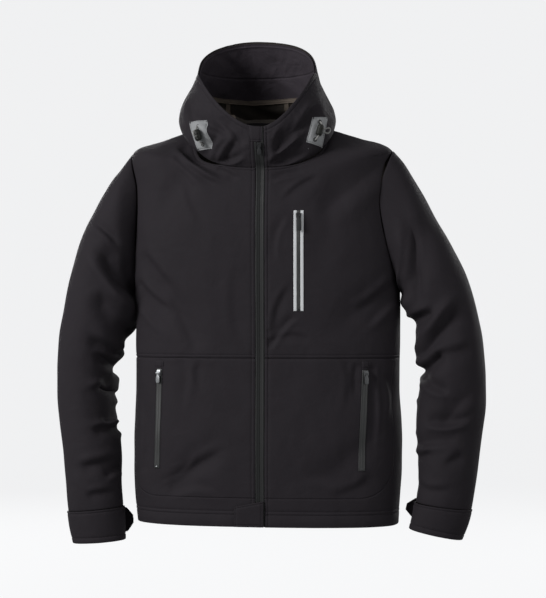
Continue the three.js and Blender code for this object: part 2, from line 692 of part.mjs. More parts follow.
// Hand pocket zips, one each side
const HAND = {
  right: { topX: 183, footX: 177 },
  left: { topX: -183, footX: -188 },
};
const HAND_TOP = -446;
const HAND_FOOT = -622;
const HAND_GARAGE_TOP = -429.5;
const HAND_WIDTH = 10.6;
const HAND_SLIDER_DROP = 7.5;
for (const side of ['right', 'left']) {
  const { topX, footX } = HAND[side];
  const zipLine = { topX, footX, top: HAND_TOP, foot: HAND_FOOT };
  const garageLine = { topX, footX: topX, top: HAND_GARAGE_TOP, foot: HAND_TOP + 1.5 };
  addStrip(`hand_zip_tape_${side}`, zipLine, 0, HAND_WIDTH, 12, coatedTape);
  addStrip(`hand_zip_garage_${side}`, garageLine, 0, HAND_WIDTH + 5, 2, shellCloth);
  const at = seat(bodySurface, bodySpot(topX, HAND_TOP - HAND_SLIDER_DROP), TAPE + 3 * SEAM_GAP);
  place(`hand_zip_slider_${side}`, sliderShape(0.95), at, brightHardware);
  place(`hand_zip_pull_${side}`, pullShape(7, 17, 1.6), at, brightHardware);
}

// Hem tab over the foot of the main zip
const hemTab = (across, along) => {
  const at = bodySpot(lerp(-45, 6, across), lerp(-720.5, lerp(-686.5, -676, across), along));
  return bodySurface(at.s, at.t);
};
const hemTabWall = wall(hemTab, steps(0, 1, 4), steps(0, 1, 3), { thickness: 1.4, lift: 1.4 + SEAM_GAP });
add('hem_tab', hemTabWall, shellCloth);

// Hood adjusters: patch, two eyelets, cord, cord lock and the cord's loop. Their places are given
// in the front view, x and z.
const ADJUSTER = {
  right: {
    topIn: [93, -2.5], topOut: [114.5, -2.5], footOut: [105.5, -56], footIn: [81, -48],
    eyeTop: [101, -12], eyeFoot: [93.5, -43.5], loopTurn: 0, loopRise: 0.35,
  },
  left: {
    topIn: [-99.5, -6], topOut: [-131, -8], footOut: [-114, -60], footIn: [-86, -58],
    eyeTop: [-111, -18], eyeFoot: [-102, -49.5], loopTurn: 110, loopRise: 0,
  },
};
const EYELET = { outer: 3.9, hole: 2.0, thick: 1.2 };
const LOCK = { radius: 6.2, length: 20, bore: 1.75 };
const CORD = 1.3;

function hoodFacets(hand) {
  const hoodEnd = HOOD_SEAM[hand > 0 ? 'right' : 'left'] - hoodHair;
  const shareAt = (s, t) => (hand * s - hoodEdge(t)) / (hoodEnd - hoodEdge(t));
  const around = (share, t) => hand * lerp(hoodEdge(t), hoodEnd, share);
  return faceted(hoodSurface, shareAt, around, steps(0, 1, HOOD_COLUMNS), hoodRows);
}

function tube(points, radius, count) {
  const curve = new THREE.CatmullRomCurve3(points);
  const corner = (angle) => new THREE.Vector2(radius * Math.cos(angle), radius * Math.sin(angle));
  const section = new THREE.Shape(steps(0, 2 * Math.PI, 8).slice(0, 8).map(corner));
  return new THREE.ExtrudeGeometry(section, { extrudePath: curve, steps: count, bevelEnabled: false });
}

for (const side of ['right', 'left']) {
  const spec = ADJUSTER[side];
  const hand = side === 'right' ? 1 : -1;
  const hoodSpot = ([x, z]) => spot(hoodSurface, x, z, hand * 0.7, 1.4);
  const mix = (a, b, f) => [lerp(a[0], b[0], f), lerp(a[1], b[1], f)];
  const where = (across, up) =>
    hoodSpot(mix(mix(spec.footIn, spec.footOut, across), mix(spec.topIn, spec.topOut, across), up));
  const patch = patchOn(hoodFacets(hand), hoodSurface, where, steps(0, 1, 5), steps(0, 1, 8), TAPE, hand);
  add(`adjuster_patch_${side}`, patch, patchCloth);
  const seats = {};
  for (const [end, spotXZ] of [['top', spec.eyeTop], ['foot', spec.eyeFoot]]) {
    const at = seat(hoodSurface, hoodSpot(spotXZ), TAPE + 5 * SEAM_GAP);
    const half = EYELET.thick / 2;
    const ring = new THREE.LatheGeometry([
      new THREE.Vector2(EYELET.hole, -half), new THREE.Vector2(EYELET.outer, -half),
      new THREE.Vector2(EYELET.outer, half * 0.4), new THREE.Vector2(EYELET.hole + 0.7, half),
      new THREE.Vector2(EYELET.hole, half), new THREE.Vector2(EYELET.hole, -half),
    ], 12);
    place(`eyelet_${end}_${side}`, ring.rotateX(Math.PI).translate(0, -half, 0), at, hardware);
    seats[end] = at;
  }
  const topPoint = new THREE.Vector3(0, -0.3, 0).applyMatrix4(seats.top);
  const footPoint = new THREE.Vector3(0, -0.3, 0).applyMatrix4(seats.foot);
  const outward = new THREE.Vector3(0, -1, 0).transformDirection(seats.top)
    .add(new THREE.Vector3(0, -1, 0).transformDirection(seats.foot)).normalize();
  const axis = topPoint.clone().sub(footPoint).normalize();
  outward.addScaledVector(axis, -outward.dot(axis)).normalize();
  const middle = topPoint.clone().lerp(footPoint, 0.5).addScaledVector(outward, LOCK.radius + 1.6);
  const lockFrame = new THREE.Matrix4().makeBasis(
    new THREE.Vector3().crossVectors(outward.clone().negate(), axis),
    outward.clone().negate(),
    axis,
  ).setPosition(middle);
  const half = LOCK.length / 2;
  const barrel = new THREE.LatheGeometry([
    new THREE.Vector2(0, -half), new THREE.Vector2(LOCK.radius * 0.62, -half),
    new THREE.Vector2(LOCK.radius * 0.94, -half * 0.72), new THREE.Vector2(LOCK.radius, 0),
    new THREE.Vector2(LOCK.radius * 0.94, half * 0.72), new THREE.Vector2(LOCK.radius * 0.62, half),
    new THREE.Vector2(0, half),
  ], 16).rotateX(Math.PI / 2);
  const bore = new THREE.CylinderGeometry(LOCK.bore, LOCK.bore, LOCK.length + 4, 12).rotateX(Math.PI / 2);
  place(`cord_lock_${side}`, fromSolid(solid(barrel).subtract(solid(bore))), lockFrame, lockPlastic);
  const inLock = (z) => new THREE.Vector3(0, 0, z).applyMatrix4(lockFrame);
  const route = [
    topPoint, topPoint.clone().addScaledVector(outward, 2.2).addScaledVector(axis, -0.4),
    inLock(half + 1.2), inLock(half - 2), inLock(0), inLock(2 - half), inLock(-half - 1.2),
    footPoint.clone().addScaledVector(outward, 2.2).addScaledVector(axis, 0.4), footPoint,
  ];
  add(`hood_cord_${side}`, tube(route, CORD, 12), cordFinish);
  const turn = THREE.MathUtils.degToRad(spec.loopTurn);
  const loopAt = (x, z) =>
    new THREE.Vector3(x * hand * Math.cos(turn), -x * Math.sin(turn), z + x * spec.loopRise)
      .applyMatrix4(lockFrame);
  const edge = LOCK.radius + 0.6;
  const loop = [
    loopAt(edge, 2.6), loopAt(edge + 4, 3.4), loopAt(edge + 8.5, 5.2), loopAt(edge + 12.4, 3.4),
    loopAt(edge + 13.6, 0), loopAt(edge + 12.4, -3.4), loopAt(edge + 8.5, -5.2), loopAt(edge + 4, -3.4),
    loopAt(edge, -2.6),
  ];
  add(`hood_cord_loop_${side}`, tube(loop, CORD, 10), cordFinish);
}

export default jacket;
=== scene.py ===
"""Hooded softshell jacket, filled out and hollow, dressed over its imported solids.

Tables and sizes are in millimetres, as the solids' own, and meshes are in metres.
"""
import math

import bmesh
import bpy
import numpy as np
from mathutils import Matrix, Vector


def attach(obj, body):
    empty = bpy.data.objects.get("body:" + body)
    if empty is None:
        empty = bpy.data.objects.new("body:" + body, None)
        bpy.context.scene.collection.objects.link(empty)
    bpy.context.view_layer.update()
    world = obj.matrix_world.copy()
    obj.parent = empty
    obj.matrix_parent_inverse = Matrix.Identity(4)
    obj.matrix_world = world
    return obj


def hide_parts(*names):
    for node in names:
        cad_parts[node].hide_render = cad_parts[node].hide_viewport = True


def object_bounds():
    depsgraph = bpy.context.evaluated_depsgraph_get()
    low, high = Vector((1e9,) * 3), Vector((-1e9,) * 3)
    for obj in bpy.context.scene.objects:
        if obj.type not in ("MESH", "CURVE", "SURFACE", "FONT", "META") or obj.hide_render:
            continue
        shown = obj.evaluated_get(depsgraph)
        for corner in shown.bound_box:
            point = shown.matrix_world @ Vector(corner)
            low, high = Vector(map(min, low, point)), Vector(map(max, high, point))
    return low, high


bl_info = {
    "name": "Softshell jacket",
    "version": (1, 0, 0),
    "blender": (4, 5, 0),
    "location": "View3D > Sidebar > Jacket",
    "description": "Sews a hooded softshell jacket over its packed solids",
    "category": "Object",
}

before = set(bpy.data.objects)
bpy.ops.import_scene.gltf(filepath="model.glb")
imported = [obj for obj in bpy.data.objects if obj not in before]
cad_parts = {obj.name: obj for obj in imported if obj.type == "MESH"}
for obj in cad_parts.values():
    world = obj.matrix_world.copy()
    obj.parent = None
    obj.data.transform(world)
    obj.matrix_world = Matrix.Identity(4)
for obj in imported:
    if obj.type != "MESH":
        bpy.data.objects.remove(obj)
CAD_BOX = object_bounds()
MM = 0.001
BODY_NAME = "jacket"
SIDES = ("right", "left")
HAND = {"right": 1, "left": -1}

# Driving sizes
SHELL = 2.0
CUFF_SHELL = 2.4
SEAM_GAP = 0.3
TAPE = 0.8
ZIP_HALF = 8.0
WAIST_ROW = 4
UNDERARM_ROW = 6
SHOULDER_ROW = 9
FACING_RING = 5.85
HOOD_SEAM = {"right": 1.775, "left": 1.715}
HAIRLINE = SEAM_GAP / 290
HOOD_HAIR = SEAM_GAP / 240
DIP_POWER = 2.6
QUARTER_STEPS = 64


def tabled(columns, rows):
    """A table as one array for each named column."""
    return {name: np.array([row[k] for row in rows]) for k, name in enumerate(columns)}


# Rings of the body from hem to neck: heights at the side, centre front and centre back, half width,
# depths forward and back, squareness, how broadly front and back dip or rise, and the back's lean
RING = ("side", "front", "back", "width", "fore", "aft", "square", "dip", "rear", "lean")
BODY = tabled(RING, (
    (-721, -721, -719, 235, 95, 88, 2.6, 0, 0, 0),
    (-650, -650, -650, 240, 97, 90, 2.6, 0, 0, 0),
    (-575, -575, -575, 242.5, 98, 91, 2.6, 0, 0, 0),
    (-500, -500, -500, 238, 96, 90, 2.6, 0, 0, 0),
    (-426, -426, -426, 238, 94, 90, 2.6, 0, 0, 0),
    (-362, -363, -362, 239, 95, 92, 2.6, 0, 0, 0),
    (-302, -306, -300, 240, 97, 94, 2.6, 0, 0, -2),
    (-200, -222, -196, 236, 98, 96, 2.5, 0, 0, -8),
    (-125, -165, -122, 233, 95, 95, 2.4, 0, 0, -14),
    (-59, -128, -62, 235, 90, 88, 2.4, 0, 0, -20),
    (-35, -108, -30, 178, 88, 80, 2.5, 0.5, 0, -22),
    (-16, -92, -2, 118, 88, 72, 2.8, 1, 0, -24),
))
NECK_ROW = 11

# Rings of the hood from neck seam to brim
HOOD = tabled(RING, (
    (-12.6, -90.8, -0.6, 118, 88, 72, 2.8, 1, 0, -24),
    (-8.5, -80, 8, 136, 95, 92, 2.6, 0.8, 0, -30),
    (2, -67, -14, 142, 100, 124, 2.4, 0.5, 0, -36),
    (18, -56, -58, 140, 103, 152, 2.3, 0.25, 0, -38),
    (32, -47, -72, 134, 105, 182, 2.3, 0.1, 0, -40),
    (46, -39, -16, 126, 106, 197, 2.3, 0, 0.35, -41),
    (61, -31, 66, 117, 106, 178, 2.3, -0.15, 0.8, -41),
    (77, -22, 158, 108, 105, 118, 2.4, -0.3, 0.8, -40),
))
HOOD_TOP = 7
HOOD_FOOT = -0.1

# Sections of each sleeve below its armhole: outer and inner edge, half depth, centre in Y
SECTION = ("outer_x", "outer_z", "inner_x", "inner_z", "depth", "middle")
SLEEVE = {
    "right": tabled(SECTION, (
        (250, -88, 244, -313, 58, 0), (276, -130, 246, -326, 66, 0), (305, -182, 249, -338, 70, -2),
        (334, -234, 253, -351, 70, -4), (356, -282, 262, -370, 68, -6), (373, -334, 266, -397, 66, -8),
        (384, -390, 268, -428, 64, -10), (390, -446, 274, -456, 62, -12), (390, -492, 271, -490, 60, -15),
        (386, -545, 268, -540, 57, -20), (381, -592, 270, -588, 54, -26), (374, -640, 273, -632, 49, -32),
        (365, -690, 270, -678, 41, -37),
    )),
    "left": tabled(SECTION, (
        (-269, -88, -245, -315, 58, 0), (-296, -123, -247, -335, 66, 0), (-322, -171, -248, -356, 70, -2),
        (-343, -222, -250, -379, 70, -4), (-359, -275, -258, -404, 68, -6), (-370, -330, -269, -433, 66, -8),
        (-380, -388, -277, -462, 64, -10), (-383, -446, -268, -490, 62, -12),
        (-381, -500, -277, -516, 60, -15),
        (-376, -552, -268, -550, 57, -20), (-369, -602, -263, -598, 54, -26),
        (-362, -652, -262, -646, 49, -32),
        (-356, -704, -258, -694, 41, -37),
    )),
}
SLEEVE_RINGS = 13

# Cuff bands, a little proud of the sleeve
CUFF = {
    "right": tabled(SECTION, ((367, -690.3, 266, -678.3, 43, -37.5), (361, -715, 262, -701, 40, -39.5),
                              (350, -743, 257, -724, 35, -42))),
    "left": tabled(SECTION, ((-359, -704.2, -255, -694.2, 43, -37.5), (-355, -732, -253, -723, 40, -39.5),
                             (-348, -761, -252, -753, 35, -42))),
}

# How far each armhole scoops into front and back, as a share of a quarter of the body ring
ARMHOLE = {"right": {"fore": 0.215, "aft": 0.17}, "left": {"fore": 0.12, "aft": 0.17}}

# The solids' main folds, as soft troughs between two places on the front (-1) or the back (1)
FOLD = ("face", "x1", "z1", "x2", "z2", "reach", "depth")
MAIN_FOLDS = tabled(FOLD, (
    (-1, -215, -280, -120, -385, 24, 6), (-1, 215, -285, 135, -375, 22, 5),
    (-1, -120, -70, -190, -180, 20, 4), (-1, 135, -110, 100, -260, 24, 4),
    (-1, -165, -650, -75, -575, 24, 5), (-1, 205, -560, 110, -640, 22, 5),
    (1, -190, -290, -70, -420, 28, 6), (1, 190, -290, 80, -410, 28, 6),
    (1, -150, -560, 120, -520, 26, 5),
))

# Creases as soft lines in the front view, each on the front (-1) or the back (1): its places in x and
# z from its fading end to its deep end, its reach, depth, and the side with the crisp ridge, which is
# to its right (1) or left (-1) when followed
CREASE = ("face", "line", "reach", "depth", "side")
BODY_CREASES = (
    (-1, ((-150, -352), (-195, -326), (-225, -298)), 11, 5.0, 1),
    (-1, ((-168, -378), (-200, -350), (-224, -322)), 9, 3.8, -1),
    (-1, ((-150, -322), (-185, -280), (-212, -250)), 13, 4.2, 1),
    (-1, ((-168, -300), (-118, -398)), 16, 3.6, 1),
    (-1, ((160, -350), (200, -324), (228, -298)), 11, 4.6, -1),
    (-1, ((180, -372), (205, -348), (226, -326)), 8, 3.4, 1),
    (-1, ((98, -179), (150, -132), (212, -84)), 24, 6.0, 1),
    (-1, ((-58, -108), (-98, -88), (-146, -54)), 9, 6.5, -1),
    (-1, ((-74, -122), (-106, -106), (-150, -72)), 6, 3.4, 1),
    (-1, ((-108, -140), (-140, -106), (-166, -80)), 11, 3.2, 1),
    (-1, ((-40, -114), (-52, -104), (-74, -92)), 5, 3.0, 1),
    (-1, ((-92, -200), (-118, -160), (-128, -128)), 11, 1.8, -1),
    (-1, ((16, -116), (38, -106), (66, -100)), 6, 2.8, 1),
    (-1, ((40, -156), (60, -132), (92, -112)), 7, 2.0, -1),
    (-1, ((30, -262), (24, -226), (38, -186)), 7, 1.8, 1),
    (-1, ((56, -296), (34, -330), (24, -372)), 7, 2.8, 1),
    (-1, ((66, -352), (44, -368), (20, -402)), 6, 3.6, -1),
    (-1, ((-36, -246), (-46, -320), (-40, -380)), 12, 1.2, 1),
    (-1, ((92, -402), (62, -386), (20, -396)), 7, 1.8, 1),
    (-1, ((196, -590), (198, -520), (195, -446)), 6, 3.0, 1),
    (-1, ((224, -545), (229, -500), (221, -462)), 7, 3.4, -1),
    (-1, ((168, -500), (164, -466), (166, -440)), 6, 2.4, -1),
    (-1, ((150, -520), (158, -470), (152, -438)), 9, 2.2, -1),
    (-1, ((-142, -520), (-134, -470), (-138, -436)), 9, 2.2, 1),
    (-1, ((-102, -488), (-112, -460), (-108, -436)), 8, 1.8, -1),
    (-1, ((-55, -586), (-108, -612), (-160, -646)), 12, 4.4, 1),
    (-1, ((-120, -592), (-140, -620), (-172, -640)), 7, 2.6, -1),
    (-1, ((-70, -660), (-112, -650), (-156, -662)), 9, 2.2, -1),
    (-1, ((60, -640), (112, -630), (150, -648)), 14, 2.4, 1),
    (-1, ((196, -620), (176, -648), (140, -662)), 10, 2.6, 1),
    (-1, ((-216, -500), (-208, -560), (-214, -620)), 10, 2.4, 1),
    (1, ((-140, -355), (-185, -322), (-216, -296)), 12, 4.6, -1),
    (1, ((140, -350), (185, -320), (216, -296)), 12, 4.6, 1),
    (1, ((-158, -320), (-190, -280), (-208, -256)), 12, 3.6, 1),
    (1, ((158, -320), (190, -284), (210, -258)), 12, 3.6, -1),
    (1, ((-120, -150), (-90, -100), (-84, -56)), 14, 4.0, 1),
    (1, ((110, -160), (70, -104), (40, -64)), 14, 3.6, -1),
    (1, ((20, -150), (-10, -100), (-24, -56)), 12, 2.2, 1),
    (1, ((170, -575), (110, -540), (60, -520)), 13, 3.2, 1),
    (1, ((-60, -640), (-120, -622), (-180, -600)), 13, 3.0, 1),
    (1, ((-60, -420), (0, -446), (60, -450)), 12, 2.6, 1),
    (1, ((-120, -500), (-40, -520), (30, -560)), 14, 2.4, -1),
)
SLEEVE_CREASES = {
    "left": (
        (-1, ((-252, -233), (-276, -208), (-300, -190)), 7, 3.6, -1),
        (-1, ((-260, -408), (-252, -352), (-246, -296)), 20, -6.4, 1),
        (1, ((-260, -408), (-252, -352), (-246, -296)), 20, -6.4, 1),
        (-1, ((-300, -222), (-273, -266), (-243, -311)), 17, 10.0, 1),
        (-1, ((-296, -300), (-275, -342), (-246, -384)), 15, 8.0, -1),
        (-1, ((-318, -391), (-288, -406), (-262, -428)), 12, 4.0, -1),
        (-1, ((-309, -423), (-281, -434), (-263, -462)), 9, 6.0, -1),
        (-1, ((-292, -458), (-274, -474), (-256, -492)), 11, 8.0, -1),
        (-1, ((-313, -488), (-280, -482), (-258, -500)), 9, 5.5, -1),
        (-1, ((-309, -557), (-284, -553), (-262, -555)), 8, 5.0, -1),
        (-1, ((-289, -544), (-266, -529)), 8, 3.6, 1),
        (-1, ((-332, -624), (-304, -618), (-274, -611)), 11, 3.6, -1),
        (-1, ((-285, -640), (-260, -626)), 7, 3.4, 1),
        (-1, ((-318, -674), (-280, -668)), 9, 3.0, -1),
        (1, ((-318, -340), (-290, -380), (-258, -410)), 14, 6.5, 1),
        (1, ((-330, -420), (-296, -446), (-266, -458)), 11, 6.0, 1),
        (1, ((-322, -500), (-290, -496), (-262, -500)), 10, 5.0, 1),
        (1, ((-326, -566), (-292, -560), (-268, -556)), 9, 3.6, 1),
        (1, ((-300, -240), (-276, -280), (-250, -310)), 15, 6.0, -1),
        (1, ((-326, -640), (-290, -630)), 9, 2.8, 1),
    ),
    "right": (
        (-1, ((254, -172), (266, -240), (251, -306)), 16, 9.0, 1),
        (-1, ((276, -150), (292, -210), (288, -262)), 12, 1.2, 1),
        (-1, ((258, -348), (253, -318), (249, -288)), 16, -6.4, 1),
        (1, ((258, -348), (253, -318), (249, -288)), 16, -6.4, 1),
        (-1, ((302, -347), (284, -350), (262, -360)), 9, 6.0, 1),
        (-1, ((350, -330), (322, -362), (282, -416)), 14, 8.0, 1),
        (-1, ((320, -414), (300, -430), (272, -452)), 11, 7.0, 1),
        (-1, ((372, -402), (340, -414), (306, -420)), 11, 2.6, 1),
        (-1, ((331, -484), (306, -478), (276, -462)), 8, 5.0, -1),
        (-1, ((362, -522), (338, -535), (298, -536)), 9, 6.0, -1),
        (-1, ((368, -478), (344, -506), (326, -526)), 14, 3.2, -1),
        (-1, ((346, -571), (316, -568), (276, -574)), 10, 3.4, -1),
        (-1, ((300, -588), (276, -598)), 7, 3.0, 1),
        (-1, ((353, -588), (330, -604)), 9, 2.6, 1),
        (-1, ((340, -650), (300, -656), (280, -650)), 10, 2.4, 1),
        (1, ((318, -330), (290, -364), (262, -392)), 14, 6.5, -1),
        (1, ((336, -410), (300, -438), (270, -452)), 11, 6.0, -1),
        (1, ((330, -490), (298, -488), (268, -490)), 10, 5.0, -1),
        (1, ((330, -556), (300, -552), (272, -548)), 9, 3.6, -1),
        (1, ((296, -230), (276, -276), (250, -306)), 15, 6.0, 1),
        (1, ((330, -640), (296, -626)), 9, 2.8, -1),
    ),
}
HOOD_CREASES = (
    (-1, ((-128, 8), (-96, -14), (-62, -30)), 9, 3.6, 1),
    (-1, ((-60, -24), (-84, -44), (-96, -66)), 8, 3.6, -1),
    (-1, ((-36, -40), (-54, -60), (-70, -84)), 7, 3.4, 1),
    (-1, ((-30, -66), (-48, -78), (-76, -88)), 6, 3.0, -1),
    (-1, ((-78, -2), (-52, -22), (-34, -46)), 8, 2.4, 1),
    (-1, ((-112, -30), (-128, -2), (-132, 24)), 8, 2.6, -1),
    (-1, ((104, 22), (84, -4), (72, -34)), 9, 4.0, 1),
    (-1, ((74, -8), (60, -34), (34, -58)), 9, 4.2, -1),
    (-1, ((78, -40), (56, -60), (28, -84)), 8, 4.4, 1),
    (-1, ((86, -62), (62, -76), (34, -92)), 6, 3.4, -1),
    (-1, ((46, -20), (34, -44), (30, -70)), 7, 2.6, 1),
    (-1, ((118, -8), (122, 18), (110, 42)), 9, 2.6, 1),
    (1, ((10, -30), (-44, -8), (-92, 10)), 14, 5.0, 1),
    (1, ((0, -36), (34, -14), (64, 14)), 14, 4.6, -1),
    (1, ((-60, 62), (-20, 40), (22, 38)), 13, 3.6, 1),
    (1, ((-96, 46), (-104, 0), (-96, -30)), 12, 3.6, 1),
    (1, ((70, 60), (84, 20), (78, -10)), 12, 3.6, -1),
)

# Main folds of each sleeve: ring, place round it (0 top, 0.25 front, 0.5 inner), reaches in rings
# and in turns, and depth
SLEEVE_FOLD = ("ring", "turn", "rings", "turns", "depth")
SLEEVE_FOLDS = {
    "right": tabled(SLEEVE_FOLD, (
        (6.1, 0.40, 0.42, 0.16, 7), (7.6, 0.42, 0.40, 0.15, 8), (8.5, 0.46, 0.36, 0.14, 6),
        (5.0, 0.28, 0.50, 0.10, 5), (9.7, 0.30, 0.42, 0.12, 4), (7.8, 0.72, 0.50, 0.14, 6),
    )),
    "left": tabled(SLEEVE_FOLD, (
        (6.0, 0.38, 0.45, 0.16, 7), (7.5, 0.42, 0.38, 0.15, 8), (8.5, 0.45, 0.36, 0.15, 7),
        (4.6, 0.30, 0.50, 0.12, 5), (9.6, 0.32, 0.40, 0.12, 4), (7.8, 0.72, 0.50, 0.14, 6),
    )),
}
MAIN_FOLD_SHARE = 0.45


def hermite(values, at):
    """Smooth values of one column at fractional row numbers."""
    last = len(values) - 1
    i = np.clip(np.floor(at).astype(int), 0, last - 1)
    f = at - i
    p1, p2 = values[i], values[i + 1]
    p0 = np.where(i > 0, values[np.maximum(i - 1, 0)], 2 * p1 - p2)
    p3 = np.where(i < last - 1, values[np.minimum(i + 2, last)], 2 * p2 - p1)
    m1, m2 = (p2 - p0) / 2, (p3 - p1) / 2
    f2, f3 = f * f, f ** 3
    return (2 * f3 - 3 * f2 + 1) * p1 + (f3 - 2 * f2 + f) * m1 + (3 * f2 - 2 * f3) * p2 + (f3 - f2) * m2


def rows_at(rows, at):
    return {name: hermite(values, at) for name, values in rows.items()}


def lerp(a, b, t):
    return a + (b - a) * t


def quarter(width, depth, square, share):
    """Places on a quarter of a squarish oval, walked evenly from its middle (0) to its side (1)."""
    turn = np.pi / 4 * (1 - np.cos(np.linspace(0, np.pi, QUARTER_STEPS + 1)))
    power = (2 / square)[:, None]
    x = width[:, None] * np.sin(turn) ** power
    y = depth[:, None] * np.clip(np.cos(turn), 0, 1) ** power
    run = np.zeros_like(x)
    run[:, 1:] = np.cumsum(np.hypot(np.diff(x), np.diff(y)), axis=1)
    want = np.clip(share, 0, 1) * run[:, -1]
    k = np.clip((run < want[:, None]).sum(axis=1), 1, QUARTER_STEPS)
    row = np.arange(len(want))
    f = (want - run[row, k - 1]) / (run[row, k] - run[row, k - 1])
    return lerp(x[row, k - 1], x[row, k], f), lerp(y[row, k - 1], y[row, k], f)


def share_of(row, width):
    """Share of a quarter ring that a width beside the centre front takes."""
    sample = np.full_like(row["width"], 0.1)
    edge, depth = quarter(row["width"], row["fore"], row["square"], sample)
    return 0.1 * width / np.hypot(edge, row["fore"] - depth)


def ring_point(rows, s, t, chunk=20000):
    """Places on rings: s is 0 at centre front, 1 at the right side, 2 at centre back, 3 or -1 left."""
    s, t = np.broadcast_arrays(np.asarray(s, float), np.asarray(t, float))
    points = np.empty((s.size, 3))
    for start in range(0, s.size, chunk):
        part = slice(start, start + chunk)
        row = rows_at(rows, t.ravel()[part])
        around = s.ravel()[part]
        around = np.where(around > 2, around - 4, around)
        hand, q = np.where(around < 0, -1, 1), np.abs(around)
        front = q <= 1
        share = np.where(front, q, 2 - q)
        x, y = quarter(row["width"], np.where(front, row["fore"], row["aft"]), row["square"], share)
        even = np.cos(q * np.pi / 2) ** 2
        broad = 1 - np.clip(share, 0, 1) ** DIP_POWER
        weight = lerp(even, broad, np.where(front, row["dip"], row["rear"]))
        end = np.where(front, row["front"], row["back"])
        points[part, 0] = hand * x + row["lean"] * q / 2
        points[part, 1] = np.where(front, -y, y)
        points[part, 2] = lerp(row["side"], end, weight)
    return points.reshape(s.shape + (3,))


def body_smooth(s, t):
    return ring_point(BODY, s, t)


def hood_smooth(s, t):
    return ring_point(HOOD, s, t)


def fold_depth(folds, points):
    """How deep the main troughs lie at each place."""
    x, y, z = points[..., 0], points[..., 1], points[..., 2]
    total = np.zeros(x.shape)
    for k in range(len(folds["face"])):
        f = {name: values[k] for name, values in folds.items()}
        dx, dz = f["x2"] - f["x1"], f["z2"] - f["z1"]
        near = np.clip(((x - f["x1"]) * dx + (z - f["z1"]) * dz) / (dx * dx + dz * dz), 0, 1)
        away = np.hypot(x - f["x1"] - near * dx, z - f["z1"] - near * dz) / f["reach"]
        depth = f["depth"] * np.exp(-away * away) * (0.4 + 0.6 * np.sin(np.pi * near))
        total += np.where((f["face"] < 0) == (y < 0), depth, 0)
    return total


RIDGE_SHARE = 0.42
CREASE_SHARE = {"body": 1.15, "sleeve": 1.75, "hood": 2.0}


def crease_depth(creases, points, facing, fade=1.0):
    """Depth of the creases: steep beside their ridge, easing out on the other side."""
    x, z = points[..., 0], points[..., 2]
    total = np.zeros(x.shape)
    for row in creases:
        f = dict(zip(CREASE, row))
        line = bent_line(f["line"])
        gap, side, along = np.full(x.shape, np.inf), np.zeros(x.shape), np.zeros(x.shape)
        for k, (a, b) in enumerate(zip(line, line[1:])):
            d = b - a
            length = np.hypot(*d)
            near = np.clip(((x - a[0]) * d[0] + (z - a[1]) * d[1]) / length ** 2, 0, 1)
            ex, ez = x - a[0] - near * d[0], z - a[1] - near * d[1]
            away = np.hypot(ex, ez)
            closer = away < gap
            gap = np.where(closer, away, gap)
            side = np.where(closer, (ex * d[1] - ez * d[0]) / length * f["side"], side)
            along = np.where(closer, (k + near) / (len(line) - 1), along)
        side = np.clip(side, -gap, gap) / f["reach"]
        end = np.sqrt(np.maximum(gap ** 2 / f["reach"] ** 2 - side ** 2, 0))
        width = np.where(side > 0, 0.6, 1.45)
        trough = np.exp(-(side / width) ** 2 - end ** 2)
        ridge = np.exp(-((side - 1.25) / 0.65) ** 2 - end ** 2)
        strength = smooth_step(along / 0.4) * (1 - 0.25 * smooth_step(along * 5 - 4))
        faced = smooth_step(0.5 + f["face"] * facing / 0.5)
        total += f["depth"] * (trough - RIDGE_SHARE * ridge) * (0.12 + 0.88 * strength) * faced
    return total * fade


def smooth_step(x):
    x = np.clip(x, 0, 1)
    return x * x * (3 - 2 * x)


def bent_line(places):
    """A smooth bend through two or three places."""
    a, b = np.array(places[0], float), np.array(places[-1], float)
    if len(places) == 2:
        return np.array([a, b])
    t = np.linspace(0, 1, 6)[:, None]
    middle = 2 * np.array(places[1], float) - (a + b) / 2
    return (1 - t) ** 2 * a + 2 * t * (1 - t) * middle + t ** 2 * b


def sleeve_fold_depth(folds, turn, ring):
    total = np.zeros(np.broadcast(turn, ring).shape)
    for k in range(len(folds["ring"])):
        f = {name: values[k] for name, values in folds.items()}
        gap = ((turn - f["turn"] + 1.5) % 1 - 0.5) / f["turns"]
        away = (ring - f["ring"]) / f["rings"]
        total += f["depth"] * np.exp(-gap * gap - away * away)
    return total


def armhole_point(side, turn):
    hand = HAND[side]
    t = lerp(UNDERARM_ROW, SHOULDER_ROW, (1 + np.cos(2 * np.pi * turn)) / 2)
    scoop = np.abs(np.sin(2 * np.pi * turn))
    spec = ARMHOLE[side]
    s = hand * np.where(turn <= 0.5, 1 - spec["fore"] * scoop, 1 + spec["aft"] * scoop)
    points = body_smooth(s, t)
    normals = surface_normals(body_smooth, s, t)
    points = points - normals * fold_depth(MAIN_FOLDS, points)[..., None]
    return points + np.array([hand * 1.1, 0, 0])


def section_point(rows, at, turn):
    row = rows_at(rows, at)
    high = (1 + np.cos(2 * np.pi * turn)) / 2
    return np.stack([
        lerp(row["inner_x"], row["outer_x"], high),
        row["middle"] - row["depth"] * np.sin(2 * np.pi * turn),
        lerp(row["inner_z"], row["outer_z"], high),
    ], axis=-1)


